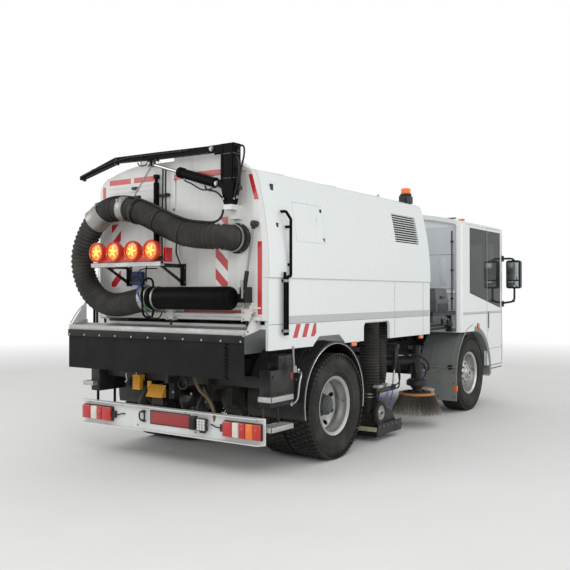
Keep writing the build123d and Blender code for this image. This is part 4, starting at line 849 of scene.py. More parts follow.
def hangerChain():
    shape = Shape()
    top, foot = at(*chain["top"]), at(*chain["foot"])
    count = int((top - foot).length / (chain["link"] * 0.74))
    way = (foot - top).normalized()
    for k in range(count):
        place = top.lerp(foot, (k + 0.5) / count)
        turn = framed(place, place + way) @ Matrix.Rotation(math.pi / 2 * (k % 2), 4, "Z")
        ring = [turn @ vec(math.cos(a) * 0.011, 0,
            math.sin(a) * 0.016) for a in [math.tau * j / 8 for j in range(8)]]
        shape.pipe(ring, chain["wire"] * 0.75, boltSteel, 1, closed=True)
    shape.rod(top + vec(0, 0, 0.02), top, 0.012, satin, 10)
    hook = [foot, foot + vec(0, 0.02, -0.02), foot + vec(0, 0.02, -0.05), foot + vec(0, -0.02, -0.05),
        foot + vec(0, -0.02, -0.03)]
    shape.pipe(hook, 0.006, boltSteel, 2)
    shape.put("hanger_chain", "boom")
    clamp = Shape()
    place, way = onHose(hoseLine, hose["ring"])
    clamp.lathe(((0.119, -0.018), (0.127, -0.018), (0.127, 0.018), (0.119, 0.018)), place, way, satin, 40,
        closed=True)
    clamp.slab(place + vec(-0.02, -0.03, 0.11), place + vec(0.02, 0.03, 0.15), satin, 0.006)
    clamp.put("hose_hanger", "gate")


hangerChain()


# Suction tube beside the hose's end
tube = {"x": -1.455, "z": 1.64, "radius": 0.106, "from": -0.04, "to": -1.04}


def suctionTube():
    shape = Shape()
    r = tube["radius"]
    start = at(tube["x"], tube["from"], tube["z"])
    span = abs(tube["to"] - tube["from"])
    profile = ((0, 0), (r - 0.004, 0), (r, 0.004), (r, 0.05), (r + 0.006, 0.053), (r + 0.006, 0.075),
        (r, 0.078), (r, span - 0.03), (r - 0.006, span - 0.012), (r - 0.02, span), (r - 0.03, span),
        (r - 0.032, span - 0.006), (0.03, span - 0.01), (0, span - 0.01))
    shape.lathe(profile, start, (0, -1, 0), gloss, 48)
    for along in (0.02, 0.115):
        ring = ((r + 0.001, -0.01), (r + 0.007, -0.01), (r + 0.007, 0.01), (r + 0.001, 0.01))
        shape.lathe(ring, (tube["x"], tube["from"] - along, tube["z"]), (0, -1, 0), cuff, 40, closed=True)
    for y in (-0.965, -0.08):
        shape.box(satin, 0, (tube["x"], y - 0.02, tube["z"] - 0.04, gate["x"], y + 0.02, tube["z"] + 0.04))
    loop = [at(tube["x"] + dx, -0.085, z) for dx, z in ((0, 1.75), (0, 1.81), (-0.06, 1.83), (-0.13, 1.81),
        (-0.145, 1.72), (-0.145, 1.56), (-0.13, 1.47), (-0.05, 1.455), (0, 1.47), (0, 1.53))]
    shape.pipe(loop, 0.01, gloss)
    shape.put("suction_tube_end", "gate", 35, replace=("suction_tube",))
    wires = Shape()
    x = tube["x"]
    runs = ((wireBlue, ((x, 0.02, 1.77), (x - 0.1, 0.03, 1.75), (x - 0.13, 0, 1.68), (x - 0.12, -0.05,
        1.6))), (wireGreen, ((x, -0.01, 1.76), (x - 0.09, -0.03, 1.75), (x - 0.125, -0.02, 1.64),
        (x - 0.11, -0.08, 1.56), (x - 0.08, -0.15, 1.52))), (cord, ((x - 0.03, 0.03, 1.78), (x - 0.09, 0.05,
        1.86), (x - 0.06, 0, 1.93), (x + 0.08, -0.06, 1.92))), (cord, ((x - 0.03, -0.02, 1.5),
        (x - 0.07, -0.1, 1.46), (x + 0.02, -0.16, 1.44), (x + 0.1, -0.1, 1.5))),)
    for finish, run in runs:
        wires.pipe(run, 0.006, finish)
    for k in range(9):
        turn = math.tau * k / 9
        place = at(x, 0.005, tube["z"]) + ray(turn, "xz") * 0.118
        wires.block(place, (0.007, 0.012, 0.007), trim, 0.002)
    wires.put("tube_wires", "gate")


suctionTube()


def sidePlate(shape, outline, y, thickness, finish, bevel=0):
    # sheet that stands along the truck, from pairs of X and Z
    shape.plate([(x, y, z) for x, z in outline], vec(0, thickness, 0), finish, bevel)


def ringOfBolts(shape, centre, out, radius, count, size, turn=0, finish=None):
    # bolts round a flange, out being its axis
    face = framed(centre, centre + Vector(out))
    for k in range(count):
        angle = turn + math.tau * k / count
        shape.bolt(face @ vec(math.cos(angle) * radius, math.sin(angle) * radius, 0), out, size, finish)


# Warning lamps on their shelf
lamp = {"x": -1.588, "z": 2.081, "radius": 0.097, "lens": 0.081, "places": (0.5, 0.269, 0.019, -0.226),
    "arms": 5}


@piece("warning_lamp_set", "gate", 30, replace=("warning_lamps",))
def warningLamps(shape):
    r, lens = lamp["radius"], lamp["lens"]
    for index, y in enumerate(lamp["places"]):
        centre = at(lamp["x"], y, lamp["z"])
        rim = ((0, -0.028), (r * 0.7, -0.028), (r * 0.93, -0.006), (r, 0.018), (r, 0.05), (r - 0.005, 0.059),
            (lens + 0.005, 0.062), (lens, 0.056), (lens, 0.03), (0, 0.03))
        shape.lathe(rim, centre, aft, lampRed, 44)
        shape.lathe(((lens - 0.001, 0.031), (lens - 0.001, 0.043), (lens * 0.7, 0.05), (0, 0.0525)), centre,
            aft, amberLens, 40)
        face = centre + vec(-0.0505, 0, 0)
        for k in range(lamp["arms"]):
            angle = math.tau * (k + 0.25 + 0.1 * index) / lamp["arms"]
            way = ray(angle, "yz")
            side = vec(0, -math.sin(angle), math.cos(angle))
            shape.rod(face + way * 0.006, face + way * 0.034, 0.0075, amberBright, 8, tip=0.013)
            shape.rod(face + way * 0.034, face + way * 0.058 + vec(0.004, 0, 0), 0.013, amberBright, 8,
                tip=0.006)
            spot = face + way * 0.052 + side * 0.026 + vec(0.005, 0, 0)
            shape.rod(spot, spot + vec(-0.004, 0, 0), 0.008, amberBright, 8)
        for k in range(20):
            angle = math.tau * k / 20
            way = ray(angle, "yz")
            spot = centre + way * (r - 0.007) + vec(-0.056, 0, 0)
            shape.rod(spot, spot + vec(-0.004, 0, 0), 0.0045, redLens, 6)
    shape.box(lampRed, 0.004, (-1.606, -0.24, 1.98, -1.57, 0.515, 2.045))
    shape.box(redLens, 0.004, (-1.6, -0.24, 2.045, -1.572, 0.515, 2.125))
    shape.box(redLens, 0.008, (-1.56, -0.352, 1.977, -1.475, -0.312, 2.108))
    shape.box(trim, 0.003, (-1.58, -0.325, 1.985, -1.57, -0.24, 2.03))


@piece("lamp_shelf", "gate", 30, replace=("lamp_bar",))
def lampShelf(shape):
    shape.box(zinc, 0.003, (-1.616, -0.33, 1.936, -1.563, 0.6, 1.958))
    shape.box(zinc, 0, (-1.616, -0.33, 1.957, -1.611, 0.6, 1.976))
    shape.box(trim, 0.003, (-1.608, -0.325, 1.956, -1.572, 0.59, 1.981))
    for y in (-0.31, 0.41):
        # hollow triangle from the gate to the shelf
        shape.box(satin, 0.002, (-1.6, y - 0.004, 1.925, -1.28, y + 0.004, 1.962))
        shape.box(satin, 0, (-1.6, y - 0.025, 1.928, -1.28, y + 0.004, 1.934))
        shape.box(satin, 0.002, (-1.325, y - 0.004, 1.76, -1.28, y + 0.004, 1.93), (-1.288, y - 0.035, 1.755,
            -1.28, y + 0.035, 1.965))
        sidePlate(shape, ((-1.59, 1.93), (-1.54, 1.93), (-1.285, 1.8), (-1.285, 1.762)), y - 0.004, 0.008,
            satin)
        for z in (1.79, 1.93):
            shape.bolt((-1.288, y + 0.022, z), aft, 0.009)
            shape.bolt((-1.288, y - 0.022, z), aft, 0.009)
    for y in (0.5, 0.3, 0.1, -0.2):
        shape.bolt((-1.59, y, 1.936), (0, 0, -1), 0.008)


# Mast, boom and ram: seams, pins, and the hoses that feed the ram
crane = {"x": -1.38, "y": -0.96, "half": 0.0505, "pin": (-0.775, 2.99), "ramFoot": (-0.83, 2.672),
    "ramHead": (0.01, 2.932)}


@piece("mast_trim", "mast", 30)
def mastTrim(shape):
    x, y, half = crane["x"], crane["y"], crane["half"]
    for z in (2.925, 2.705):
        shape.box(seam, 0.001, (x - half - 0.0015, y - 0.0765, z, x + half + 0.0015, y + 0.0765, z + 0.006))
    for side in (-1, 1):
        shape.box(gloss, 0.002, (x - half - 0.004, y + side * 0.055 - 0.008, 2.67, x - half + 0.002,
            y + side * 0.055 + 0.008, 3.01))
    shape.box(gloss, 0.002, (x - half - 0.002, y - 0.078, 3.012, x + half + 0.002, y + 0.078, 3.0195))
    for z, size in ((2.99, 0.02), (2.672, 0.018)):
        place = crane["pin"][0] if z > 2.9 else crane["ramFoot"][0]
        for way in (-1, 1):
            shape.bolt((x + way * 0.044, place, z), (way, 0, 0), size)
    for z in (2.95, 2.79, 2.6):
        shape.box(trim, 0.004, (x - 0.02, y - 0.092, z - 0.012, x + 0.02, y - 0.07, z + 0.012))
    runs = (
        # loops beside the mast, down to the connectors near its foot
        ((x, -1.04, 2.97), (x + 0.01, -1.07, 3.005), (x + 0.02, -1.1, 2.985), (x + 0.01, -1.105, 2.9),
            (x, -1.08, 2.8),
         (x, -1.06, 2.7), (x - 0.01, -1.065, 2.6), (x, -1.03, 2.53)),
        ((x - 0.03, -1.04, 2.9), (x - 0.04, -1.08, 2.89), (x - 0.04, -1.09, 2.76), (x - 0.03, -1.06, 2.66),
         (x - 0.03, -1.03, 2.57), (x - 0.02, -1.01, 2.52)),
        ((x - 0.045, -0.7, 2.66), (x - 0.06, -0.72, 2.62), (x - 0.07, -0.84, 2.6), (x - 0.07, -0.9, 2.56),
         (x - 0.06, -0.93, 2.515)),
    )
    for run in runs:
        shape.pipe(run, 0.0085, cord)
        end, before = at(*run[-1]), at(*run[-2])
        shape.rod(end + (before - end) * 0.35, end, 0.012, boltSteel, 10)
    shape.box(trim, 0.006, (x - 0.02, -1.08, 2.6, x + 0.02, -1.03, 2.64))


@piece("boom_trim", "boom", 30)
def boomTrim(shape):
    x = crane["x"]
    for y, z in ((0.49, 3.005), (-0.06, 2.99)):
        shape.box(seam, 0.001, (x - 0.0285, y - 0.004, z - 0.038, x + 0.0285, y + 0.004, z + 0.034))
    line = x - 0.036
    top, tip = at(line, 0, 3.014), at(line, 0.49, 3.02)
    shape.pipe([top + vec(0, -0.5, -0.008), top, tip, at(line, 0.99, 2.885)], 0.007, cord)
    for y, z in ((-0.4, 3.008), (0.1, 3.015), (0.45, 3.021), (0.8, 2.938)):
        shape.box(trim, 0.003, (line - 0.012, y - 0.008, z - 0.012, line + 0.008, y + 0.008, z + 0.012))
    shape.bolt((x - 0.036, crane["ramHead"][0], crane["ramHead"][1]), aft, 0.016)
    shape.bolt((x + 0.036, crane["ramHead"][0], crane["ramHead"][1]), (1, 0, 0), 0.016)
    for way in (-1, 1):
        shape.box(gloss, 0.001, (x + way * 0.029 - 0.003, -0.09, 2.975, x + way * 0.029 + 0.003, 0.1, 3))
    hook = [at(x, y, z) for y, z in ((0.06, 2.975), (0.07, 2.935), (0.12, 2.925), (0.19, 2.93),
        (0.2, 2.965))]
    shape.pipe(hook, 0.006, satin)
    shape.box(satin, 0.004, (x - 0.015, 0.955, 2.845, x + 0.015, 0.985, 2.875))


@piece("ram_trim", "ram_barrel", 30)
def ramTrim(shape):
    foot, head = at(crane["x"], *crane["ramFoot"]), at(crane["x"], *crane["ramHead"])
    way = (head - foot).normalized()
    for along, radius in ((0.05, 0.0485), (0.455, 0.052)):
        shape.lathe(((radius - 0.004, -0.008), (radius, -0.006), (radius, 0.006), (radius - 0.004, 0.008)),
            foot + way * along, way, gloss, 32, closed=True)
    low = foot + way * 0.075
    shape.rod(low, low + vec(-0.02, 0, -0.062), 0.011, boltSteel, 10)
    port = foot + way * 0.42
    shape.rod(port, port + vec(-0.02, 0, -0.062), 0.011, boltSteel, 10)
    line = [port + vec(-0.02, 0, -0.06), port + vec(-0.03, -0.03, -0.075), port + vec(-0.03, -0.1, -0.1),
        low + vec(-0.03, 0.12, -0.065), low + vec(-0.02, 0.03, -0.07), low + vec(-0.02, 0, -0.06)]
    shape.pipe(line, 0.007, cord)


# Lower frame of the gate, its posts, the chute lip and the flap
lowEdge = {"posts": (-1.1, -0.19, 0.72), "flapX": -1.436, "bolts": 11, "flapHalf": 1.15}


@piece("gate_lower_frame", "gate", 30)
def gateFrame(shape):
    x = gate["x"]
    shape.box(gatePaint, 0.004, (x - 0.022, -1.225, 1.445, x, 0.83, 1.475))
    shape.box(gatePaint, 0.003, (x - 0.012, -1.225, 1.545, x, 0.83, 1.562))
    for y in lowEdge["posts"]:
        shape.box(gatePaint, 0.002, (x - 0.066, y - 0.042, 1.44, x - 0.058, y + 0.042, 1.545))
        for side in (-1, 1):
            sidePlate(shape, ((x, 1.43), (x - 0.066, 1.43), (x - 0.066, 1.545), (x - 0.03, 1.6), (x, 1.6)),
                y + side * 0.039, side * 0.006, gatePaint)
        shape.rod((x - 0.035, y - 0.052, 1.49), (x - 0.035, y + 0.052, 1.49), 0.03, gatePaint, 20,
            bevel=0.003)
        shape.rod((x - 0.035, y - 0.06, 1.49), (x - 0.035, y + 0.06, 1.49), 0.014, boltSteel, 12)
        shape.rod((x - 0.04, y, 1.43), (x - 0.04, y, 1.385), 0.016, trim, 12, tip=0.011)
        for dz in (1.515, 1.455):
            shape.bolt((x - 0.066, y + 0.022, dz), aft, 0.007)
    shape.rod((x - 0.035, -1.1, 1.49), (x - 0.035, 0.72, 1.49), 0.0185, gatePaint, 16)


@piece("chute_trim", "hopper", 30)
def chuteTrim(shape):
    half = lowEdge["flapHalf"]
    shape.box(zinc, 0.003, (-1.4275, -half, 1.352, -1.385, half, 1.362))
    shape.box(zinc, 0.002, (-1.4275, -half, 1.306, -1.421, half, 1.353))
    shape.rod((-1.44, -half, 1.315), (-1.405, -half, 1.315), 0.012, boltSteel, 10)
    for side in (-1, 1):
        sidePlate(shape, ((-1.192, 1.36), (-1.192, 1.6), (-1.205, 1.62), (-1.22, 1.58), (-1.38, 1.372),
            (-1.42, 1.33), (-1.42, 1.312)), side * (half - 0.001), side * 0.004, gatePaint)
        shape.bolt((-1.25, side * (half + 0.003), 1.43), (0, side, 0), 0.01)
        shape.bolt((-1.38, side * (half + 0.003), 1.345), (0, side, 0), 0.01)
        shape.pipe(((-1.23, side * (half + 0.008), 1.56), (-1.28, side * (half + 0.012), 1.52),
            (-1.36, side * (half + 0.01), 1.43), (-1.4, side * (half + 0.008), 1.37)), 0.005, boltSteel)


@piece("rubber_flap_sheet", "hopper", 30, replace=("rubber_flap",))
def rubberFlap(shape):
    part = bmesh.new()
    half = lowEdge["flapHalf"]
    made = bmesh.ops.create_grid(part, x_segments=46, y_segments=12, size=0.5)["verts"]
    for vert in made:
        y, z = vert.co.x * 2 * half, 0.927 + (vert.co.y + 0.5) * 0.386
        hang = max(0, (1.313 - z) / 0.386)
        wave = math.sin(y * 5.2 + 0.6) * 0.004 + math.sin(y * 2.1) * 0.003
        vert.co = at(lowEdge["flapX"] + 0.0105 + (wave - 0.001) * hang ** 1.5 * 0.6, y, z)
    bmesh.ops.solidify(part, geom=part.faces[:], thickness=0.008)
    bmesh.ops.recalc_face_normals(part, faces=part.faces)
    shape.take(part, rubberDark)
    shape.box(flapBand, 0.0015, (lowEdge["flapX"] - 0.003, -half, 1.245, lowEdge["flapX"] + 0.004, half,
        1.313))
    for k in range(lowEdge["bolts"]):
        y = -half + 0.03 + k * (2 * half - 0.06) / (lowEdge["bolts"] - 1)
        shape.bolt((lowEdge["flapX"] - 0.003, y, 1.262), aft, 0.0085, chrome)


# Underrun beam: lamps, plate, work lamp and cables
beam = {"face": -1.178, "lampZ": (0.366, 0.505), "left": (0.743, 1.17), "right": (-1.17, -0.743)}


@piece("tail_lamp_set", "chassis", 30, replace=("tail_lamps",))
def tailLamps(shape):
    x, (low, high) = beam["face"], beam["lampZ"]
    rows = (
        # lamp, then shares of its length from the inside out, with their lenses
        (beam["left"], ((0, 0.3, redLens), (0.3, 0.48, redLens), (0.48, 0.7, clearLens), (0.7, 1, redLens))),
        (beam["right"], ((0, 0.26, redLens), (0.26, 0.44, clearLens), (0.44, 0.62, redLens),
                         (0.62, 0.82, amberDull), (0.82, 1, redLens))),
    )
    for (y0, y1), parts in rows:
        inner, outer = (y0, y1) if y0 > 0 else (y1, y0)
        span = outer - inner
        shape.box(trim, 0.004, (x - 0.022, min(y0, y1) - 0.004, low - 0.006, x, max(y0, y1) + 0.004,
            high + 0.006))
        for start, end, lens in parts:
            a, b = inner + span * start, inner + span * end
            shape.box(lens, 0.01, (x - 0.056, min(a, b) + 0.002, low, x - 0.02, max(a, b) - 0.002, high))
            middle = at(x - 0.055, (a + b) / 2, (low + high) / 2)
            radius = min(abs(b - a) / 2 - 0.008, 0.05)
            shape.lathe(((radius, 0), (radius, 0.002), (radius * 0.7, 0.0055), (0, 0.0065)), middle, aft,
                lens, 28)
        shape.box(trim, 0.008, (x - 0.03, inner, 0.4, x, inner - 0.05 * (1 if y0 > 0 else -1), 0.47))


def beamFittings():
    shape = Shape()
    x = beam["face"]
    # plate with its frame
    shape.box(plateRed, 0.003, (x - 0.0115, -0.302, 0.392, x - 0.001, 0.207, 0.513))
    for low, high in (((-0.31, 0.384), (0.215, 0.392)), ((-0.31, 0.512), (0.215, 0.52)), ((-0.31, 0.384),
            (-0.302, 0.52)), ((0.207, 0.384), (0.215, 0.52))):
        shape.slab((x - 0.012, *low), (x, *high), trim, 0.002)
    shape.put("plate_framed", "chassis", 30, replace=("number_plate",))
    shape = Shape()
    # D loop, black box, square work lamp, cables
    loop = [at(x - 0.03, y, z) for y, z in ((0.285, 0.5), (0.335, 0.5), (0.348, 0.46), (0.335, 0.415),
        (0.285, 0.405), (0.272, 0.43), (0.272, 0.48))]
    shape.pipe(loop, 0.0085, trim, closed=True)
    shape.box(trim, 0.003, (x - 0.02, 0.285, 0.485, x, 0.325, 0.51), (x - 0.02, 0.285, 0.395, x, 0.325,
        0.42))
    shape.box(trim, 0.008, (x - 0.05, -0.405, 0.385, x, -0.328, 0.515))
    shape.box(satin, 0.003, (x - 0.055, -0.398, 0.4, x - 0.045, -0.335, 0.5))
    shape.box(trim, 0.008, (x - 0.05, -0.539, 0.385, x - 0.01, -0.426, 0.505))
    shape.box(ledLens, 0.002, (x - 0.052, -0.533, 0.392, x - 0.048, -0.432, 0.498))
    for k in range(3):
        for m in range(4):
            spot = at(x - 0.051, -0.45 - 0.0325 * k, 0.405 + 0.0265 * m)
            shape.lathe(((0.011, 0), (0.011, 0.002), (0, 0.004)), spot, aft, clearLens, 12)
    shape.box(trim, 0.004, (x - 0.04, -0.51, 0.365, x, -0.455, 0.385))
    shape.rod((x - 0.02, -0.545, 0.445), (x - 0.02, -0.42, 0.445), 0.012, boltSteel, 10)
    for y, out in ((0.69, 1), (-0.69, -1)):
        run = ((x - 0.02, y + 0.04 * out, 0.44), (x - 0.03, y - 0.03 * out, 0.43), (x - 0.02, y - 0.09 * out,
            0.455), (x - 0.005, y - 0.12 * out, 0.45))
        shape.pipe(run, 0.006, cord)
    for y in (-1.1, -0.62, 0.62, 1.1, -0.25, 0.25):
        shape.bolt((x, y, 0.54), aft, 0.01)
    for side in (-1, 1):
        for k in range(2):
            shape.bolt((x, side * 0.385 + (k - 0.5) * 0.02, 0.545 - 0.19 * k), aft, 0.009)
    shape.put("beam_fittings", "chassis", 30)


beamFittings()
print("gate and beam dressed")


# Wheels: tyres with tread, steel rims with holes, hubs and bolts
wheel = {"half": 0.1575, "bead": 0.11, "blocks": 60, "tread": 0.014}


def tyreMesh(shape, centre, block):
    # carcass with raised lines on its walls, then shoulder and centre blocks round the tread
    r, half = tyreRadius, wheel["half"]
    rim = 0.298
    base = r - wheel["tread"]
    profile = []
    for side in (-1, 1):
        wall = [(rim + 0.001, side * wheel["bead"]), (rim + 0.016, side * 0.128), (rim + 0.045,
            side * 0.146), (rim + 0.05, side * 0.1495), (rim + 0.056, side * 0.148),
            (rim + 0.1, side * 0.1555), (rim + 0.106, side * 0.1572), (rim + 0.114, side * 0.1572),
            (rim + 0.12, side * 0.156), (r - 0.085, side * 0.155), (r - 0.06, side * 0.15),
            (r - 0.03, side * 0.138), (base, side * 0.125)]
        profile = profile + wall if side < 0 else profile + wall[::-1]
    shape.lathe(profile, centre, (0, 1, 0), tyreRubber, 96, closed=True)
    blocks, deep = bmesh.new(), wheel["tread"] + 0.006

    def rubberBlock(bm, turn, size, y, z, tilt):
        part = bmesh.ops.create_cube(bm, size=1)["verts"]
        bmesh.ops.scale(bm, vec=size, verts=part)
        matrix = (Matrix.Translation(centre) @ Matrix.Rotation(math.tau * turn / wheel["blocks"], 4,
            "Y") @ Matrix.Translation((0, y, z)) @ tilt)
        bmesh.ops.transform(bm, matrix=matrix, verts=part)

    for k in range(wheel["blocks"]):
        for row, (inner, outer, shift, width) in enumerate(block):
            length = math.tau * r / wheel["blocks"] * width
            lean = (14 if (row + k) % 2 else -14) if 0 < row < len(block) - 1 else 0
            rubberBlock(blocks, k + shift, (length, outer - inner, deep), (inner + outer) / 2,
                r - 0.0015 - deep / 2, Matrix.Rotation(math.radians(lean), 4, "Z"))
    shape.take(blocks, tyreRubber)
    # lugs down both shoulders
    for side in (-1, 1):
        lugs = bmesh.new()
        for k in range(wheel["blocks"]):
            rubberBlock(lugs, k + 0.25, (0.026, 0.012, 0.048), side * 0.1405, r - 0.038,
                Matrix.Rotation(side * 0.42, 4, "X"))
        shape.take(lugs, tyreRubber)


driveBlocks = ((-0.156, -0.098, 0, 0.66), (-0.09, -0.034, 0.5, 0.7), (-0.027, 0.027, 0, 0.7), (0.034, 0.09,
    0.5, 0.7), (0.098, 0.156, 0, 0.66))
steerBlocks = ((-0.137, -0.093, 0, 0.96), (-0.085, -0.033, 0, 0.94), (-0.026, 0.026, 0.5, 0.94),
    (0.033, 0.085, 0, 0.94), (0.093, 0.137, 0.5, 0.96))


def rimWell(shape, centre, out, paint):
    # turned well with both rolled edges, out is the side that shows
    b = wheel["bead"]
    half = ((0.25, 0.03), (0.262, 0.05), (0.268, b), (0.29, b + 0.016), (0.299, b + 0.019),
        (0.3035, b + 0.016), (0.3035, b + 0.01), (0.2995, b + 0.002), (0.284, b), (0.274, 0.05),
        (0.262, 0.03))
    mirrored = [(r, -z) for r, z in half]
    profile = mirrored[8::-1] + list(half) + mirrored[:8:-1]
    shape.lathe(profile, centre, (0, out, 0), paint, 72, closed=True)


def rimDisc(shape, centre, out, face, paint, depth, holes, holeRadius, circle):
    # dished disc with round holes, cut from a turned plate
    disc = Shape()
    profile = ((0, face), (0.115, face), (0.155, face - depth * 0.15), (0.185, face - depth * 0.55),
        (0.225, face - depth * 0.9), (0.252, face - depth), (0.262, face - depth + 0.004),
        (0.262, face - depth - 0.012), (0.225, face - depth * 0.9 - 0.014),
        (0.185, face - depth * 0.55 - 0.014), (0.155, face - depth * 0.15 - 0.014), (0.115, face - 0.016),
        (0, face - 0.016))
    disc.lathe(profile, centre, (0, out, 0), paint, 72)
    piece = disc.build("disc", 40)
    cutter = Shape()
    for k in range(holes):
        turn = math.tau * (k + 0.5) / holes
        spot = centre + vec(math.cos(turn) * circle, 0, math.sin(turn) * circle)
        cutter.rod(spot - vec(0, 0.2, 0), spot + vec(0, 0.2, 0), holeRadius, paint, 20)
    cutFrom(piece, cutter)
    part = bmesh.new()
    part.from_mesh(piece.data)
    bmesh.ops.recalc_face_normals(part, faces=part.faces)
    bpy.data.objects.remove(piece)
    shape.take(part, paint)


def wheelSet(name, side, centres, outer, drive):
    low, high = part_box(name.replace("rims", "tyres").replace("rim", "tyre"))
    middleX, middleZ = (low.x + high.x) / 2, (low.z + high.z) / 2
    body = name.replace("rims", "wheels").replace("front_rim", "front_wheel")
    rubber = Shape()
    for y in centres:
        tyreMesh(rubber, vec(middleX, side * y, middleZ), driveBlocks if drive else steerBlocks)
    rubber.put("tread_" + name, body, 38, replace=(name.replace("rims", "tyres").replace("rim", "tyre"),))
    steel = Shape()
    hub = vec(middleX, side * outer, middleZ)
    for y in centres:
        rimWell(steel, vec(middleX, side * y, middleZ), side, wheelSilver)
    out = vec(0, side, 0)
    if drive:
        face = -0.105
        rimDisc(steel, hub, side, face, wheelSilver, -0.085, 8, 0.026, 0.212)
        inner = vec(middleX, side * centres[0], middleZ)
        rimDisc(steel, inner, side, 0.09, wheelSilver, 0.085, 8, 0.026, 0.212)
        steel.rod(inner + out * 0.08, hub + out * (face + 0.002), 0.14, hubGrey, 40)
        profile = ((0, 0.062), (0.07, 0.062), (0.078, 0.055), (0.082, 0.045), (0.098, 0.04), (0.102, 0.028),
            (0.104, -0.02), (0.118, -0.03), (0.122, -0.05), (0.122, face))
        steel.lathe(profile, hub, out, hubGrey, 48)
        ringOfBolts(steel, hub + out * 0.041, out, 0.09, 12, 0.0085, 0.1, hubGrey)
        ringOfBolts(steel, hub + out * (face + 0.004), out, 0.155, 10, 0.017, 0, boltSteel)
        steel.rod(hub + out * 0.061, hub + out * 0.067, 0.045, hubGrey, 32, bevel=0.002)
    else:
        face = 0.085
        rimDisc(steel, hub, side, face, wheelSilver, 0.07, 10, 0.028, 0.205)
        profile = ((0, 0.134), (0.052, 0.134), (0.062, 0.126), (0.066, 0.112), (0.08, 0.106), (0.086, 0.092),
            (0.108, 0.088), (0.114, 0.082), (0.114, 0.02), (0, 0.02))
        steel.lathe(profile, hub, out, wheelSilver, 48)
        ringOfBolts(steel, hub + out * face, out, 0.14, 10, 0.0175, 0, chrome)
        ringOfBolts(steel, hub + out * 0.105, out, 0.073, 6, 0.006, 0, boltSteel)
        steel.rod(hub + out * 0.133, hub + out * 0.1345, 0.03, hubGrey, 28)
        steel.lathe(((0.117, 0), (0.117, -0.14), (0.2, -0.15), (0.2, -0.16), (0, -0.16)), hub, out, ironDark,
            36)
    steel.lathe(((0.2015, 0), (0.206, -0.003), (0.206, -0.055), (0.17, -0.06), (0.17, -0.02)),
        hub - out * (0.11 if drive else 0.02), out, ironDark, 40)
    valve = hub + out * 0.06 + vec(0.245, 0, 0.02)
    steel.rod(valve, valve + out * 0.05, 0.005, boltSteel, 8)
    steel.put("wheel_" + name, body, 34, replace=(name,))


frontOut = (steerLow.y + steerHigh.y) / 2
rearIn, rearOut = rearLow.y + wheel["half"], rearHigh.y - wheel["half"]
for side, name in bothSides:
    wheelSet("front_rim_" + name, side, (frontOut,), frontOut, False)
for side, name in bothSides:
    wheelSet("rear_rims_" + name, side, (rearIn, rearOut), rearOut, True)
print("wheels made")


# Rear fenders, side panels and steps
fender = {"x": -0.03, "z": 0.6, "edge": 0.578}


@piece("fender_trim", "chassis", 34)
def fenderTrim(shape):
    for side in (-1, 1):
        arcs = []
        for k in range(33):
            turn = math.radians(-13 + k * 206 / 32)
            run, rise = math.cos(turn) * fender["edge"], math.sin(turn) * fender["edge"]
            arcs.append((fender["x"] - run, fender["z"] + rise))
        edge = [at(x, side * 1.2505, z) for x, z in arcs]
        shape.pipe(edge, 0.0045, chrome, 2)
        lip = [at(fender["x"] + (x - fender["x"]) * 1.022, side * 1.238,
            fender["z"] + (z - fender["z"]) * 1.022) for x, z in arcs]
        shape.pipe(lip, 0.007, fenderBlack, 2)
        for turn in (25, 60, 90, 120, 155):
            angle = math.radians(turn)
            way = vec(-math.cos(angle), 0, math.sin(angle))
            shape.bolt(at(fender["x"], side * 1.13, fender["z"]) + way * 0.599, way, 0.009)
        for y in (0.86, 1.08):
            ring = [at(fender["x"] - math.cos(math.radians(a)) * 0.601, side * y,
                fender["z"] + math.sin(math.radians(a)) * 0.601) for a in range(5, 180, 10)]
            shape.pipe(ring, 0.005, fenderBlack, 2)


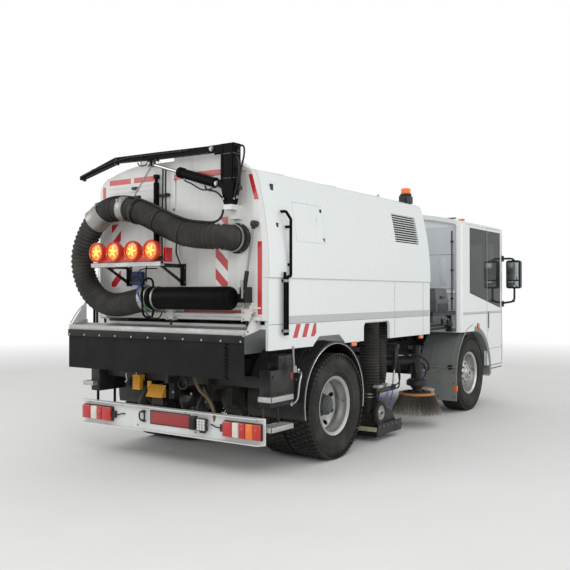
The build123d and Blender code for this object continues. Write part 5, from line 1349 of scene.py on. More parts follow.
@piece("side_step_set", "chassis", 30, replace=("side_steps",))
def sideSteps(shape):
    for side in (-1, 1):
        shape.box(satin, 0.008, (-1.09, side * 1.06, 0.64, -0.7, side * 1.19, 0.98),
            (-0.96, side * 1.06, 0.975, -0.7, side * 1.19, 1.11))
        shape.box(satin, 0.004, (-1, side * 0.43, 0.8, -0.94, side * 1.062, 0.9))
        for x, z in ((-1.05, 0.92), (-0.74, 0.92), (-1.05, 0.7), (-0.74, 0.7), (-0.93, 1.07), (-0.74, 1.07)):
            shape.bolt((x, side * 1.19, z), (0, side, 0), 0.01, trim)
        grip = ((-0.635, 1.196, 0.945), (-0.655, 1.246, 0.935), (-0.7, 1.249, 0.86), (-0.715, 1.249, 0.77),
            (-0.735, 1.246, 0.665), (-0.755, 1.196, 0.645))
        shape.pipe([(x, side * y, z) for x, y, z in grip], 0.0105, chrome)
        for x, z in ((-0.635, 0.945), (-0.755, 0.645)):
            shape.rod((x, side * 1.188, z), (x, side * 1.203, z), 0.022, chrome, 20, bevel=0.003)
        for z in (0.43, 0.7):
            low, high = min(side * 1.09, side * 1.245), max(side * 1.09, side * 1.245)
            shape.box(zinc, 0.001, (-1.15, low, z, -1.144, high, z + 0.045), (-0.796, low, z, -0.79, high,
                z + 0.045), (-1.15, low, z, -0.79, low + 0.006, z + 0.045), (-1.15, high - 0.006, z, -0.79,
                high, z + 0.045))
            for x in spaced(-1.142, 0.0285, 13):
                shape.box(zinc, 0, (x, low, z + 0.008, x + 0.004, high, z + 0.043))
            for k in range(6):
                y = low + 0.022 + k * (high - low - 0.044) / 5
                shape.box(zinc, 0, (-1.148, y - 0.002, z + 0.016, -0.792, y + 0.002, z + 0.04))
            for k in range(12):
                for m in range(5):
                    x, y = -1.128 + k * 0.0285, low + 0.03 + m * (high - low - 0.06) / 4
                    shape.box(zinc, 0, (x, y - 0.006, z + 0.041, x + 0.003, y + 0.006, z + 0.0455))
        for x in (-1.09, -0.85):
            low, high = min(side * 1.092, side * 1.104), max(side * 1.092, side * 1.104)
            shape.box(satin, 0.002, (x, low, 0.43, x + 0.03, high, 0.66))


# Hopper sides: latches, handle, sticker, louvres, stripes, seams and markers
hopper = {"half": 1.25, "lower": 1.24, "crease": 1.83, "lean": 0.061, "roof": 2.975}


def wallY(z):
    # the upper wall leans in, as the body's section does
    share = max(0, (z - hopper["crease"]) / 0.91)
    return hopper["half"] - hopper["lean"] * share - hopper["lean"] * share ** 2.2


def wallFilm(shape, side, x0, x1, z0, z1, finish):
    outer = hopper["lower"] if z1 <= 1.822 else None
    low = (outer or wallY(z0)) * side
    high = (outer or wallY(z1)) * side
    shape.plate(((x0, low, z0), (x1, low, z0), (x1, high, z1), (x0, high, z1)), vec(0, side * 0.0012, 0),
        finish)


@piece("hopper_side_trim", "hopper", 30)
def hopperSide(shape):
    for side in (-1, 1):
        wallFilm(shape, side, -0.94, 2.31, 1.405, 1.475, stripe)
        wallFilm(shape, side, -0.94 if side > 0 else -1.185, 2.31, 1.4, 1.4035, seam)
        # grey line just under the crease's overhang, in the stripe grey: painted shade of the groove there
        shape.box(stripe, 0, (-1.18 if side < 0 else -0.94, side * 1.2405, 1.822, 2.325, side * 1.2485,
            1.826))
        for x in (1.33, 2.12):
            wallFilm(shape, side, x, x + 0.0035, 1.18, 1.82, seam)
        # amber markers under the skirt
        for x in (0.32, 2.02):
            shape.box(amberDull, 0.006, (x, side * 1.215, 1.126, x + 0.1, side * 1.245, 1.166))
            shape.box(trim, 0.004, (x - 0.008, side * 1.21, 1.12, x + 0.108, side * 1.225, 1.172))
    # red and white sticker with leaning bars on the right rear corner
    wallFilm(shape, -1, -0.82, -0.39, 1.267, 1.395, whiteFilm)
    for k in range(3):
        x = -0.8 + k * 0.155
        y = -1.2413
        corners = ((x, 1.267), (x + 0.075, 1.267), (x + 0.135, 1.395), (x + 0.06, 1.395))
        if k == 2:
            corners = ((x, 1.267), (x + 0.06, 1.267), (-0.39, 1.3), (-0.39, 1.395), (x + 0.06, 1.395))
        shape.plate([(a, y, z) for a, z in corners], vec(0, -0.0012, 0), redFilm)


@piece("hatch_trim", "hopper", 30)
def hatchTrim(shape):
    x0, x1, z0, z1 = -0.72, -0.2, 2.18, 2.55
    for z in (z0, z1):
        y = wallY(z)
        shape.pipe(((x0, -y + 0.001, z), ((x0 + x1) / 2, -y + 0.001, z), (x1, -y + 0.001, z)), 0.0035, seam,
            2)
    for x in (x0, x1):
        shape.pipe([(x, -wallY(z) + 0.001, z) for z in (z0, z0 + 0.12, z0 + 0.25, z1)], 0.0022, stripe, 2)
    y = wallY(2.2)
    shape.box(whitePaint, 0.005, (x0 + 0.03, -y - 0.012, 2.15, x1 - 0.03, -y + 0.01, 2.168))
    # latches and the T handle
    for x, z in ((-0.225, 2.505), (-0.225, 2.215)):
        y = wallY(z)
        shape.rod((x, -y, z), (x, -y - 0.014, z), 0.019, trim, 20, bevel=0.003)
        shape.box(trim, 0.003, (x - 0.006, -y - 0.022, z - 0.016, x + 0.006, -y - 0.01, z + 0.016))
    z = 2.4
    y = wallY(z)
    shape.box(whitePaint, 0.004, (-0.62, -y - 0.016, z - 0.008, -0.32, -y + 0.004, z + 0.008))
    shape.box(whitePaint, 0.005, (-0.335, -y - 0.026, z - 0.04, -0.315, -y + 0.004, z + 0.03))
    for x in (-0.66, -0.44):
        shape.box(whitePaint, 0.004, (x - 0.02, -wallY(z1) - 0.01, z1 + 0.004, x + 0.02, -wallY(z1) + 0.01,
            z1 + 0.02))
    # catches by the rear edge
    for x, z in ((-1.02, 2.66), (-1.02, 2.3)):
        y = wallY(z)
        shape.box(trim, 0.006, (x - 0.02, -y - 0.016, z - 0.03, x + 0.02, -y + 0.01, z + 0.03))


@piece("louvre_trim", "hopper", 30)
def louvreTrim(shape):
    x0, x1, z0, z1 = 1.4, 2.05, 2.29, 2.63
    count = 12
    for side in (-1, 1):
        for low, high in ((z0 - 0.016, z0), (z1, z1 + 0.016)):
            y = wallY((low + high) / 2)
            shape.box(stripe, 0.002, (x0 - 0.016, side * (y - 0.012), low, x1 + 0.016, side * (y + 0.003),
                high))
        # the twelve grey bars stand for the dark openings between the louvre's white slats: painted shade
        for k in range(count):
            z = z0 + (k + 0.5) * (z1 - z0) / count
            y = wallY(z)
            shape.box(stripe, 0.002, (x0, side * (y - 0.022), z + 0.002, x1, side * (y + 0.001), z + 0.0135))
        for k in range(1, 5):
            x = x0 + k * (x1 - x0) / 5
            shape.pipe([(x, side * (wallY(z) - 0.014), z) for z in (z0, (z0 + z1) / 2, z1)], 0.004, seam, 2)


@piece("roof_trim", "hopper", 30)
def hopperRoof(shape):
    # roof seams, hinge covers and the lifting rings
    for x in (-0.6, 0.4, 1.4):
        line = []
        for k in range(13):
            y = -1 + k * 2 / 12
            z = hopper["roof"] - 0.1424 * (y / 1.06) ** 2 - 0.0175 * abs(y / 1.06) ** 2
            line.append(at(x, y, z + 0.001))
        shape.pipe(line, 0.004, stripe, 2)
    shape.box(whitePaint, 0.012, (1.45, -0.35, 2.958, 2.05, 0.35, 2.99))
    for x in (1.5, 2):
        shape.bolt((x, 0.32, 2.988), up, 0.012)
        shape.bolt((x, -0.32, 2.988), up, 0.012)
    for y in (-0.61, 0.23):
        shape.rod((-1.165, y - 0.05, 3.01), (-1.165, y + 0.05, 3.01), 0.024, gatePaint, 20, bevel=0.003)
    for x in (-0.9, 2.15):
        for y in (-0.6, 0.6):
            z = hopper["roof"] - 0.16 * (y / 1.06) ** 2
            ring = [at(x + math.cos(a) * 0.03, y,
                z + 0.018 + math.sin(a) * 0.026) for a in [math.tau * k / 10 for k in range(10)]]
            shape.pipe(ring, 0.006, boltSteel, 2, closed=True)


@piece("grab_trim", "hopper", 30)
def grabTrim(shape):
    for side in (-1, 1):
        for z in (1.34, 1.8):
            for x in (-0.935, -0.975):
                shape.lathe(((0.0145, -0.012), (0.0185, -0.012), (0.0185, 0.012), (0.0145, 0.012)),
                    (x, side * 1.272, z), up, boltSteel, 16, closed=True)
        for z in (2.3, 1.95):
            y = wallY(z)
            shape.box(gloss, 0.003, (-0.9, side * y, z - 0.012, -0.865, side * 1.275, z + 0.012))
    # cup with its chain under the skirt's corner, red tag on the cord
    shape.pipe(((-0.8, -1.245, 1.19), (-0.81, -1.25, 1.12), (-0.8, -1.25, 1.05), (-0.79, -1.248, 1)), 0.01,
        boltSteel)
    shape.rod((-0.79, -1.248, 1.01), (-0.785, -1.246, 0.95), 0.022, boltSteel, 16, tip=0.03)
    shape.pipe(((-0.815, -1.25, 1.06), (-0.83, -1.252, 1), (-0.835, -1.25, 0.95)), 0.005, trim)
    shape.box(tagRed, 0.003, (-0.845, -1.253, 0.885, -0.825, -1.247, 0.95))


# Beacon: lens with its ribs on a rubber foot
beacon = {"x": 2.18, "y": -0.98, "foot": 2.93, "radius": 0.062, "height": 0.094}


@piece("beacon_lamp", "hopper", 30, replace=("beacon",))
def beaconLamp(shape):
    centre = at(beacon["x"], beacon["y"], beacon["foot"])
    shape.box(trim, 0.008, (beacon["x"] - 0.085, beacon["y"] - 0.06, 2.83, beacon["x"] + 0.085,
        beacon["y"] + 0.06, 2.925))
    shape.lathe(((0, -0.006), (0.07, -0.006), (0.074, 0), (0.074, 0.014), (0.068, 0.024), (0, 0.024)),
        centre, (0, 0, 1), trim, 40)
    profile = [(0, 0.022)]
    for z in spaced(0.024, 0.009, 7):
        profile += [(beacon["radius"] - 0.002, z), (beacon["radius"], z + 0.003),
            (beacon["radius"] - 0.002, z + 0.007)]
    profile += [(0.054, 0.0905), (0.04, beacon["height"]), (0, beacon["height"] + 0.0005)]
    shape.lathe(profile, centre, up, amberBeacon, 44)
    for side in (-1, 1):
        shape.bolt(centre + vec(side * 0.068, 0, 0.014), up, 0.006)


print("hopper dressed")


# Suction hoses, nozzle and brushes
duct = {"x": 1.1, "y": -1.03, "top": 1.354, "low": 0.4803, "radius": 0.118, "pitch": 0.034, "rib": 0.012,
    "side": ((1.34, 1.354), (1.34, 1.15), (1.34, 0.95), (1.345, 0.78), (1.33, 0.655), (1.24, 0.6),
    (1.14, 0.56))}
luck = random.Random(7)


def brushStripes(name, root, tip, low, high):
    # bristles whose ends are worn pale, from a height near the root to one at the tip
    finish = Finish(name, {"Specular IOR Level": 0.3, "Roughness": 0.6})
    share = ((high - finish.axis(2)) / (high - low)).clamp()
    grain = finish.noise(120, 2)
    finish.feed("Base Color", finish.blend((share * share * 0.8 + grain * 0.3).clamp(), root, tip))
    return finish.material


def strands(shape, pairs, radius, finish):
    # stiff three-sided bristles from root to tip
    part = bmesh.new()
    for root, tip in pairs:
        turn = (tip - root).to_track_quat("Z", "Y")
        ring = [turn @ ray(a) * radius for a in (0, 2.1, 4.2)]
        low = [part.verts.new(root + way) for way in ring]
        high = [part.verts.new(tip + way * 0.8) for way in ring]
        for k in range(3):
            part.faces.new((low[k - 1], low[k], high[k], high[k - 1]))
        part.faces.new(high)
    bmesh.ops.recalc_face_normals(part, faces=part.faces)
    shape.take(part, finish)


def clampRing(shape, centre, axis, radius):
    shape.lathe(((radius - 0.004, 0), (radius + 0.003, 0), (radius + 0.003, 0.014), (radius - 0.004, 0.014)),
        centre, axis, cuff, 40, True)


@piece("suction_hoses", "chassis", 34, replace=("suction_hose",))
def suctionHoses(shape):
    sway = (0, 0.008, -0.008, 0.006, 0)
    span = duct["top"] - duct["low"]
    main = [at(duct["x"] + s, duct["y"], duct["low"] + span * k / 4) for k, s in enumerate(sway)]
    ribbedHose(shape, main, duct["radius"], duct["pitch"], duct["rib"], hoseRubber, 36)
    ribbedHose(shape, [at(x, duct["y"] - 0.01, z) for x, z in duct["side"]], 0.082, 0.03, 0.01, hoseRubber,
        28)
    for z in (0.495, 0.53):
        clampRing(shape, at(duct["x"], duct["y"], z), up, duct["radius"] - 0.002)
        shape.rod((duct["x"] - 0.03, -1.152, z + 0.007), (duct["x"] + 0.02, -1.152, z + 0.007), 0.005,
            boltSteel, 8)


@piece("nozzle_trim", "chassis", 32)
def nozzleTrim(shape):
    left, right = -0.425, -1.188
    shape.box(lipBeige, 0.002, (0.972, right, 0.112, 0.985, left, 0.168))
    shape.box(rubberDark, 0.002, (0.966, right, 0.06, 0.978, left, 0.118), (1.571, right, 0.06, 1.583, left,
        0.15))
    for side, y in ((-1, right), (1, left)):
        skid = [at(x, y, z) for x, z in ((0.96, 0.075), (1.58, 0.065), (1.6, 0.13), (1.58, 0.2),
            (0.99, 0.2))]
        shape.plate(skid, vec(0, side * 0.012, 0), satin, 0.0015)
        for k in range(6):
            shape.bolt((1.02 + k * 0.105, y + side * 0.012, 0.165), (0, side, 0), 0.008)
    for k in range(9):
        shape.bolt((0.972, left + (right - left) * (k + 0.5) / 9, 0.142), aft, 0.006)
    ringOfBolts(shape, at(duct["x"], duct["y"], 0.454), up, 0.112, 10, 0.0045)
    for y in (-0.6, -0.85):
        shape.box(satin, 0.001, (0.99, y, 0.328, 1.35, y + 0.012, 0.35))
    # lifting beam over the castor, its plates, its ram and the bracket that carries the ram
    shape.box(satin, 0.004, (0.93, -1.215, 0.556, 1.4, -1.158, 0.616))
    shape.box(satin, 0.002, (0.995, -1.178, 0.325, 1.055, -1.16, 0.56))
    for x in (0.955, 1.155):
        shape.plate([(x + dx, -1.222, 0.617 + dz) for dx, dz in ((0, 0), (0.13, 0), (0.12, 0.022),
            (0.03, 0.034))], vec(0, 0.075, 0), zinc, 0.002)
        shape.bolt((x + 0.06, -1.185, 0.645), up, 0.009)
        shape.bolt((x + 0.03, -1.215, 0.586), (0, -1, 0), 0.01)
    foot, top = at(1.38, -1.19, 0.6), at(1.465, -1.19, 1.06)
    shape.rod(foot, foot.lerp(top, 0.42), 0.011, chrome, 14)
    shape.rod(foot.lerp(top, 0.4), top, 0.026, satin, 20, bevel=0.003)
    shape.rod(foot - vec(0, 0.03, 0), foot + vec(0, 0.03, 0), 0.022, satin, 18, bevel=0.002)
    shape.rod(top - vec(0, 0.03, 0), top + vec(0, 0.035, 0), 0.026, satin, 18, bevel=0.002)
    shape.box(frameBlack, 0.004, (1.445, -1.215, 1.03, 1.505, -0.43, 1.085))
    shape.bolt((0.96, -1.271, 0.345), (0, -1, 0), 0.016)
    loops = ((cord, 0.009, ((1.3, -1.22, 0.6), (1.45, -1.235, 0.54), (1.5, -1.22, 0.7), (1.43, -1.215,
        0.86))), (cord, 0.009, ((1, -1.22, 0.59), (0.9, -1.24, 0.5), (0.93, -1.18, 0.38), (1, -1.1, 0.34))),
        (cord, 0.008, ((1.34, -1.22, 0.62), (1.48, -1.24, 0.6), (1.47, -1.23, 0.84), (1.47, -1.2, 1))),
        (wireBlue, 0.006, ((1.22, -1.225, 0.6), (1.1, -1.24, 0.47), (1.02, -1.22, 0.52), (0.99, -1.17,
        0.44))), (wireBlue, 0.006, ((1.32, -1.222, 0.58), (1.24, -1.235, 0.4), (1.12, -1.2, 0.36),
        (1.05, -1.15, 0.335))))
    for finish, radius, run in loops:
        shape.pipe(run, radius, finish)


@piece("castor_wheel", "nozzle_wheel", 34, replace=("nozzle_wheel",))
def castorWheel(shape):
    centre = at(0.96, -1.24, 0.345)
    tread = ((0.08, 0.018), (0.092, 0.0215), (0.118, 0.0225), (0.128, 0.017), (0.1315, 0.008))
    tread += tuple((r, -w) for r, w in reversed(tread))
    shape.lathe(tread, centre, (0, 1, 0), tyreRubber, 56, True)
    for side in (-1, 1):
        disc = ((0.0812, 0), (0.0812, 0.015), (0.074, 0.017), (0.066, 0.009), (0.044, 0.007), (0.036, 0.02),
            (0.0187, 0.0215), (0.0187, 0))
        shape.lathe(disc, centre, (0, side, 0), cuff, 48)
        ringOfBolts(shape, centre + vec(0, side * 0.008, 0), vec(0, side, 0), 0.055, 5, 0.0055)


@piece("roller_bristles", "roller", 30, replace=("roller_brush",))
def rollerBristles(shape):
    centre = at(0.795, 0, 0.305)
    shape.lathe(((0.0274, -0.82), (0.052, -0.82), (0.052, 0.82), (0.0274, 0.82)), centre, (0, 1, 0), trim,
        32, True)
    pairs = []
    for row in range(82):
        y = -0.81 + row * 0.02
        for k in range(22):
            a = math.tau * (k + row * 0.12) / 22 + luck.uniform(-0.03, 0.03)
            way = vec(math.cos(a), luck.uniform(-0.05, 0.05), math.sin(a))
            pairs.append((centre + vec(0, y, 0) + way * 0.05, centre + vec(0, y, 0) + way * 0.156))
    strands(shape, pairs, 0.0055, bristleBlue)


@piece("side_brush_set", "side_brush", 32, replace=("side_brush",))
def sideBrush(shape):
    centre = at(2.28, -1.08, 0)
    shape.lathe(((0.15, 0.398), (0.226, 0.398), (0.228, 0.404), (0.226, 0.424), (0.15, 0.425)), centre, up,
        brushOrange, 64, True)
    shape.lathe(((0.0245, 0.4), (0.176, 0.4), (0.176, 0.434), (0.15, 0.44), (0.066, 0.442), (0.06, 0.448),
        (0.058, 0.469), (0.0245, 0.47)), centre, up, satin, 56, True)
    ringOfBolts(shape, centre + up * 0.437, up, 0.125, 8, 0.009)
    ringOfBolts(shape, centre + up * 0.425, up, 0.202, 14, 0.006)
    worn = brushStripes("worn bristle", linear(52, 48, 46), linear(176, 168, 158), 0.15, 0.34)
    rows = ((0.16, 0.235, 46), (0.185, 0.285, 54), (0.213, 0.322, 62))
    for root, tip, count in rows:
        pairs = []
        for k in range(count * 6):
            a = math.tau * (k // 6) / count + luck.uniform(-0.035, 0.035)
            way, slip = ray(a), luck.uniform(-0.03, 0.008)
            lean = ray(a + 0.1)
            pairs.append((centre + way * (root + luck.uniform(-0.006, 0.006)) + up * 0.4,
                centre + lean * (tip + slip) + up * (0.152 + luck.uniform(0, 0.022))))
        strands(shape, pairs, 0.0022, worn)
    comb = []
    for k in range(66):
        a = math.radians(-96 + k * 1.9)
        way = ray(a)
        comb.append((centre + way * 0.212 + up * 0.42, centre + way * (0.222 + luck.uniform(0,
            0.003)) + up * 0.466))
    strands(shape, comb, 0.0026, bristlePale)


@piece("brush_arm_trim", "brush_arm", 32)
def brushArmTrim(shape):
    hub, post = at(2.28, -1.08, 0), at(1.8, -0.65, 0)
    run = (at(1.8, -0.65, 0) - at(2.28, -1.08, 0)).normalized()
    bell = ((0.076, 0.5), (0.128, 0.515), (0.133, 0.53), (0.128, 0.575), (0.1, 0.592), (0.076, 0.596))
    shape.lathe(bell, hub, up, satin, 48, True)
    for z, radius in ((0.66, 0.08), (0.745, 0.084), (0.9, 0.056), (1, 0.056)):
        shape.lathe(((radius - 0.008, 0), (radius, 0.002), (radius, 0.014), (radius - 0.008, 0.016)),
            hub + up * z, up, satin, 40, True)
    ringOfBolts(shape, hub + up * 0.761, up, 0.066, 6, 0.008)
    ringOfBolts(shape, hub + up * 0.593, up, 0.098, 8, 0.007)
    ringOfBolts(shape, post + up * 0.896, up, 0.058, 6, 0.008)
    for turn in (200, 290):
        way = ray(math.radians(turn))
        port = hub + way * 0.072 + up * 0.7
        shape.rod(port, port + way * 0.035, 0.013, boltSteel, 6)
        shape.pipe([port + way * 0.03, port + way * 0.08, port + way * 0.08 + up * 0.12,
            port + up * 0.22 + run * 0.1, post + up * 0.98 - run * 0.05], 0.011, cord)
    for k, finish in enumerate((wireBlue, wireBlue, cord)):
        start = hub + vec(0.06, -0.045 - k * 0.01, 0.6)
        shape.pipe([start, start + vec(0.075, -0.02, 0.02 + k * 0.02), start + vec(0.085, 0.01, 0.14),
            start + vec(0.02, 0.02, 0.19), start + vec(-0.03, 0.05, 0.22)], 0.0055, finish)
    ram = hub + up * 0.9 + run * 0.06 + vec(0, -0.005, 0)
    shape.rod(ram, ram + run * 0.26, 0.012, chrome, 14)
    shape.rod(ram + run * 0.24, post + up * 0.895 - run * 0.03, 0.027, satin, 20, bevel=0.003)
    for place in (hub + up * 0.87 + run * 0.05, post + up * 0.89 - run * 0.06):
        shape.slab(place - vec(0.03, 0.03, 0.03), place + vec(0.03, 0.03, 0.045), satin, 0.004)


print("sweeping gear made")


# Cab outside
cab = {"side": 1.245, "front": 5.29, "frontR": 0.22, "screen": 1.13, "archR": 0.606, "axle": (3.9, 0.538),
    "quarter": (3.71, 4.403), "doorPane": (4.427, 4.994), "top": 2.62, "wall": 3.43}


def sillZ(x):
    return 1.69 - (x - 3.71) * 0.177


def ringFilm(shape, outer, inner, side, lift, finish):
    # flat ring on a side of the cab, from pairs of X and Z
    y = side * (cab["side"] + 0.0002)
    for k in range(4):
        quad = (outer[k - 1], outer[k], inner[k], inner[k - 1])
        sidePlate(shape, quad, y, side * lift, finish)


def paneRing(shape, x0, x1, side):
    width = 0.034
    outer = ((x0, sillZ(x0)), (x1, sillZ(x1)), (x1, cab["top"]), (x0, cab["top"]))
    inner = ((x0 + width, sillZ(x0 + width) + width), (x1 - width, sillZ(x1 - width) + width),
        (x1 - width, cab["top"] - width), (x0 + width, cab["top"] - width))
    ringFilm(shape, outer, inner, side, 0.0006, frit)


def sideBand(shape, side, x0, x1, z0, z1, finish):
    sidePlate(shape, ((x0, z0), (x1, z0), (x1, z1), (x0, z1)), side * (cab["side"] + 0.0001), side * 0.0008,
        finish)


@piece("cab_side_trim", "chassis", 34)
def cabSides(shape):
    for side in (-1, 1):
        paneRing(shape, *cab["quarter"], side)
        sideBand(shape, side, 4.4035, 4.4145, sillZ(4.41) - 0.01, cab["top"] + 0.01, frit)
        for x0, x1, z0, z1 in ((4.4095, 4.4145, 0.6, 1.56), (5.0605, 5.0655, 0.6, 2.6), (4.41, 5.066, 0.59,
                0.5945)):
            sideBand(shape, side, x0, x1, z0, z1, trim)
        sideBand(shape, side, 3.46, 4.408, 1.388, 1.418, stripe)
        sideBand(shape, side, 3.46, 4.408, 1.384, 1.388, seam)
        sideBand(shape, side, 4.56, 5.06, 0.541, 0.556, trim)
        lip = []
        for radius, turns in ((cab["archR"] + 0.062, range(-6, 91, 6)), (cab["archR"], range(90, -7, -6))):
            lip += [(cab["axle"][0] + radius * math.cos(math.radians(a)),
                cab["axle"][1] + radius * math.sin(math.radians(a))) for a in turns]
        sidePlate(shape, lip, side * 1.2455, side * 0.006, housingGrey)
        liner = [(cab["axle"][0] + (x - cab["axle"][0]) * 0.996,
            cab["axle"][1] + (z - cab["axle"][1]) * 0.996) for x, z in lip[17:]]
        liner += [(cab["axle"][0] + (x - cab["axle"][0]) * 0.985,
            cab["axle"][1] + (z - cab["axle"][1]) * 0.985) for x, z in reversed(liner)]
        sidePlate(shape, liner, side * 1.12, side * 0.13, housingGrey)
        out = vec(0, side, 0)
        marker = at(4.036, side * cab["side"], 1.209)
        shape.lathe(((0, 0), (0.043, 0), (0.043, 0.007), (0.036, 0.01), (0, 0.01)), marker, out, trim, 40)
        shape.lathe(((0, 0.0095), (0.035, 0.0095), (0.033, 0.017), (0.02, 0.023), (0, 0.025)), marker, out,
            amberDull, 40)
        gutter = [at(x, side * (cab["side"] - 0.004), 2.672) for x in (3.6, 3.9, 4.3, 4.7, 4.96)]
        shape.pipe(gutter, 0.007, cabPaint, 2)
        for x in (4.48, 4.6, 4.72, 4.84):
            shape.box(zinc, 0.001, (x, side * 1.06 - 0.07, 0.601, x + 0.08, side * 1.06 + 0.07, 0.606))


def doorTrim(side, name):
    shape = Shape()
    paneRing(shape, *cab["doorPane"], side)
    sideBand(shape, side, 4.4275, 5.05, 1.388, 1.418, stripe)
    sideBand(shape, side, 4.4275, 5.05, 1.384, 1.388, seam)
    sideBand(shape, side, 4.4275, 5.05, 0.85, 0.8545, seam)
    pocket, rim = ((4.459, 1.17), (4.495, 1.17), (4.495, 1.4), (4.459, 1.4)), 0.009
    outer = tuple((x + (rim if x > 4.47 else -rim), z + (rim if z > 1.3 else -rim)) for x, z in pocket)
    ringFilm(shape, outer, pocket, side, 0.0025, trim)
    shape.box(trim, 0, (4.4595, side * 1.2253, 1.1705, 4.4945, side * 1.2268, 1.3995))
    shape.rod((4.477, side * 1.237, 1.171), (4.477, side * 1.237, 1.399), 0.0078, trim, 16)
    shape.lathe(((0, 0), (0.011, 0), (0.011, 0.003), (0, 0.0035)), (4.477, side * cab["side"], 1.13),
        (0, side, 0), boltSteel, 24)
    inner = side * (cab["side"] - 0.049)
    shape.box(dashGrey, 0.008, (4.5, inner, 0.78, 4.96, inner - side * 0.028, 1.3))
    shape.box(trim, 0.008, (4.58, inner, 1.22, 4.88, inner - side * 0.055, 1.26))
    shape.pipe(((4.52, inner - side * 0.004, 1.62), (4.52, inner - side * 0.05, 1.66),
        (4.52, inner - side * 0.05, 2.3), (4.52, inner - side * 0.004, 2.34)), 0.01, trim)
    shape.put("door_trim_" + name, "door_" + name, 34)


for side, name in bothSides:
    doorTrim(side, name)


@piece("rear_wall_trim", "chassis", 34)
def rearWall(shape):
    x = cab["wall"] - 0.0015
    lines = ((1.745, 1.75, -1.12, 1.12), (2.228, 2.233, -1.12, 1.12), (1.745, 2.233, -1.12, -1.115),
        (1.745, 2.233, 1.115, 1.12))
    for z0, z1, y0, y1 in lines:
        shape.box(seam, 0, (x, y0, z0, x + 0.002, y1, z1))
    for y in spaced(-0.96, 0.24, 9):
        shape.box(bulkheadGrey, 0.0055, (cab["wall"] - 0.006, y - 0.045, 1.8, cab["wall"] + 0.002, y + 0.045,
            2.18))
    shape.box(cabPaint, 0.004, (cab["wall"] - 0.02, -1.175, 1.69, cab["wall"] + 0.001, 1.175, 1.712))
    shape.box(bulkheadGrey, 0, (cab["wall"] - 0.0012, -1.176, 1.21, cab["wall"] + 0.0005, 1.176, 2.62))
    for side in (-1, 1):
        shape.pipe([(cab["wall"] - 0.02, side * 1.1, z) for z in (1.45, 1.9, 2.3, 2.56)], 0.009, cord, 2)
        for z in (1.6, 2, 2.4):
            shape.box(trim, 0.002, (cab["wall"] - 0.034, side * 1.1 - 0.016, z, cab["wall"],
                side * 1.1 + 0.016, z + 0.02))


def screenX(y, z, lift):
    # the cab's front at a place on it, which leans back and rounds off at its corners
    flat = cab["side"] - cab["frontR"]
    over = max(0, abs(y) - flat)
    lean = max(0, z - 1.3) * 0.0393
    return cab["front"] - lean - cab["frontR"] + math.sqrt(cab["frontR"] ** 2 - over ** 2) + lift


def frontFilm(shape, y0, y1, z0, z1, finish, lift=0.001):
    part = bmesh.new()
    count = max(2, int(abs(y1 - y0) / 0.03))
    ys = [y0 + (y1 - y0) * k / count for k in range(count + 1)]
    rows = [[part.verts.new(at(screenX(y, z, up), y, z)) for y in ys] for z, up in ((z0, -0.004), (z0, lift),
        (z1, lift), (z1, -0.004))]
    for low, high in zip(rows, rows[1:] + rows[:1]):
        for k in range(count):
            part.faces.new((low[k], low[k + 1], high[k + 1], high[k]))
    for end in (0, count):
        part.faces.new([row[end] for row in rows])
    bmesh.ops.recalc_face_normals(part, faces=part.faces)
    shape.take(part, finish)


@piece("cab_front_trim", "chassis", 34)
def cabFront(shape):
    half = cab["screen"]
    for y0, y1, z0, z1 in ((-half, half, 1.33, 1.385), (-half, half, 2.47, 2.56), (-half, -half + 0.045,
            1.385, 2.47), (half - 0.045, half, 1.385, 2.47)):
        frontFilm(shape, y0, y1, z0, z1, frit)
    frontFilm(shape, -1.09, 1.09, 1.2, 1.322, trim, 0.006)
    frontFilm(shape, -1.1, 1.1, 0.985, 0.99, seam)
    for k in range(4):
        shape.box(trim, 0, (5.3075, -0.418, 0.8005 + k * 0.036, 5.3125, 0.418, 0.8235 + k * 0.036))
    for side in (-1, 1):
        pivot = at(screenX(0.3, 1.26, 0.012), side * 0.1 + 0.45, 1.262)
        tip = at(screenX(0.5, 1.95, 0.02), side * 0.1 - 0.05, 1.52)
        shape.rod(pivot - vec(0.012, 0, 0), pivot + vec(0.016, 0, 0), 0.018, trim, 20, bevel=0.003)
        shape.rod(pivot, tip, 0.007, satin, 10)
        for shift, radius in ((0, 0.0045), (-0.007, 0.003)):
            blade = [at(screenX(y, z, 0.012 + shift), y, z) for y, z in ((side * 0.1 + 0.33, 1.42),
                (side * 0.1 - 0.05, 1.53), (side * 0.1 - 0.45, 1.6))]
            shape.pipe(blade, radius, trim, 2)
        for y0, y1, finish, deep in ((0.765, 0.905, chromeBowl, 0.004), (0.915, 0.99, chromeBowl, 0.004)):
            middle = at(5.312, side * (y0 + y1) / 2, 0.72)
            r = (y1 - y0) / 2
            shape.lathe(((r, 0.003), (r - 0.006, 0.0035), (r * 0.45, 0.001), (0, 0.0015)), middle, (1, 0, 0),
                finish, 40)
            shape.lathe(((r + 0.003, 0), (r + 0.003, 0.0045), (r - 0.002, 0.0045), (r - 0.002, 0)), middle,
                (1, 0, 0), trim, 40, True)
        shape.box(amberDull, 0.0015, (5.311, side * 1, 0.652, 5.3145, side * 1.052, 0.788))
        shape.lathe(((0, 0), (0.047, 0), (0.047, 0.004), (0.041, 0.006), (0, 0.004)), (5.3135, side * 0.62,
            0.56), (1, 0, 0), clearLens, 40)
        shape.box(satin, 0.004, (4.49, side * 0.6 - 0.12, 2.842, 4.54, side * 0.6 + 0.12, 2.86))
        shape.box(amberDull, 0.008, (4.96, side * 0.62 - 0.05, 2.846, 5.02, side * 0.62 + 0.05, 2.882))
    shape.lathe(((0, 0), (0.028, 0), (0.028, 0.003), (0, 0.003)), (5.3165, 0.3, 0.6), (1, 0, 0), trim, 24)
    shape.box(seam, 0, (5.3165, -0.35, 0.5, 5.3195, 0.35, 0.512))


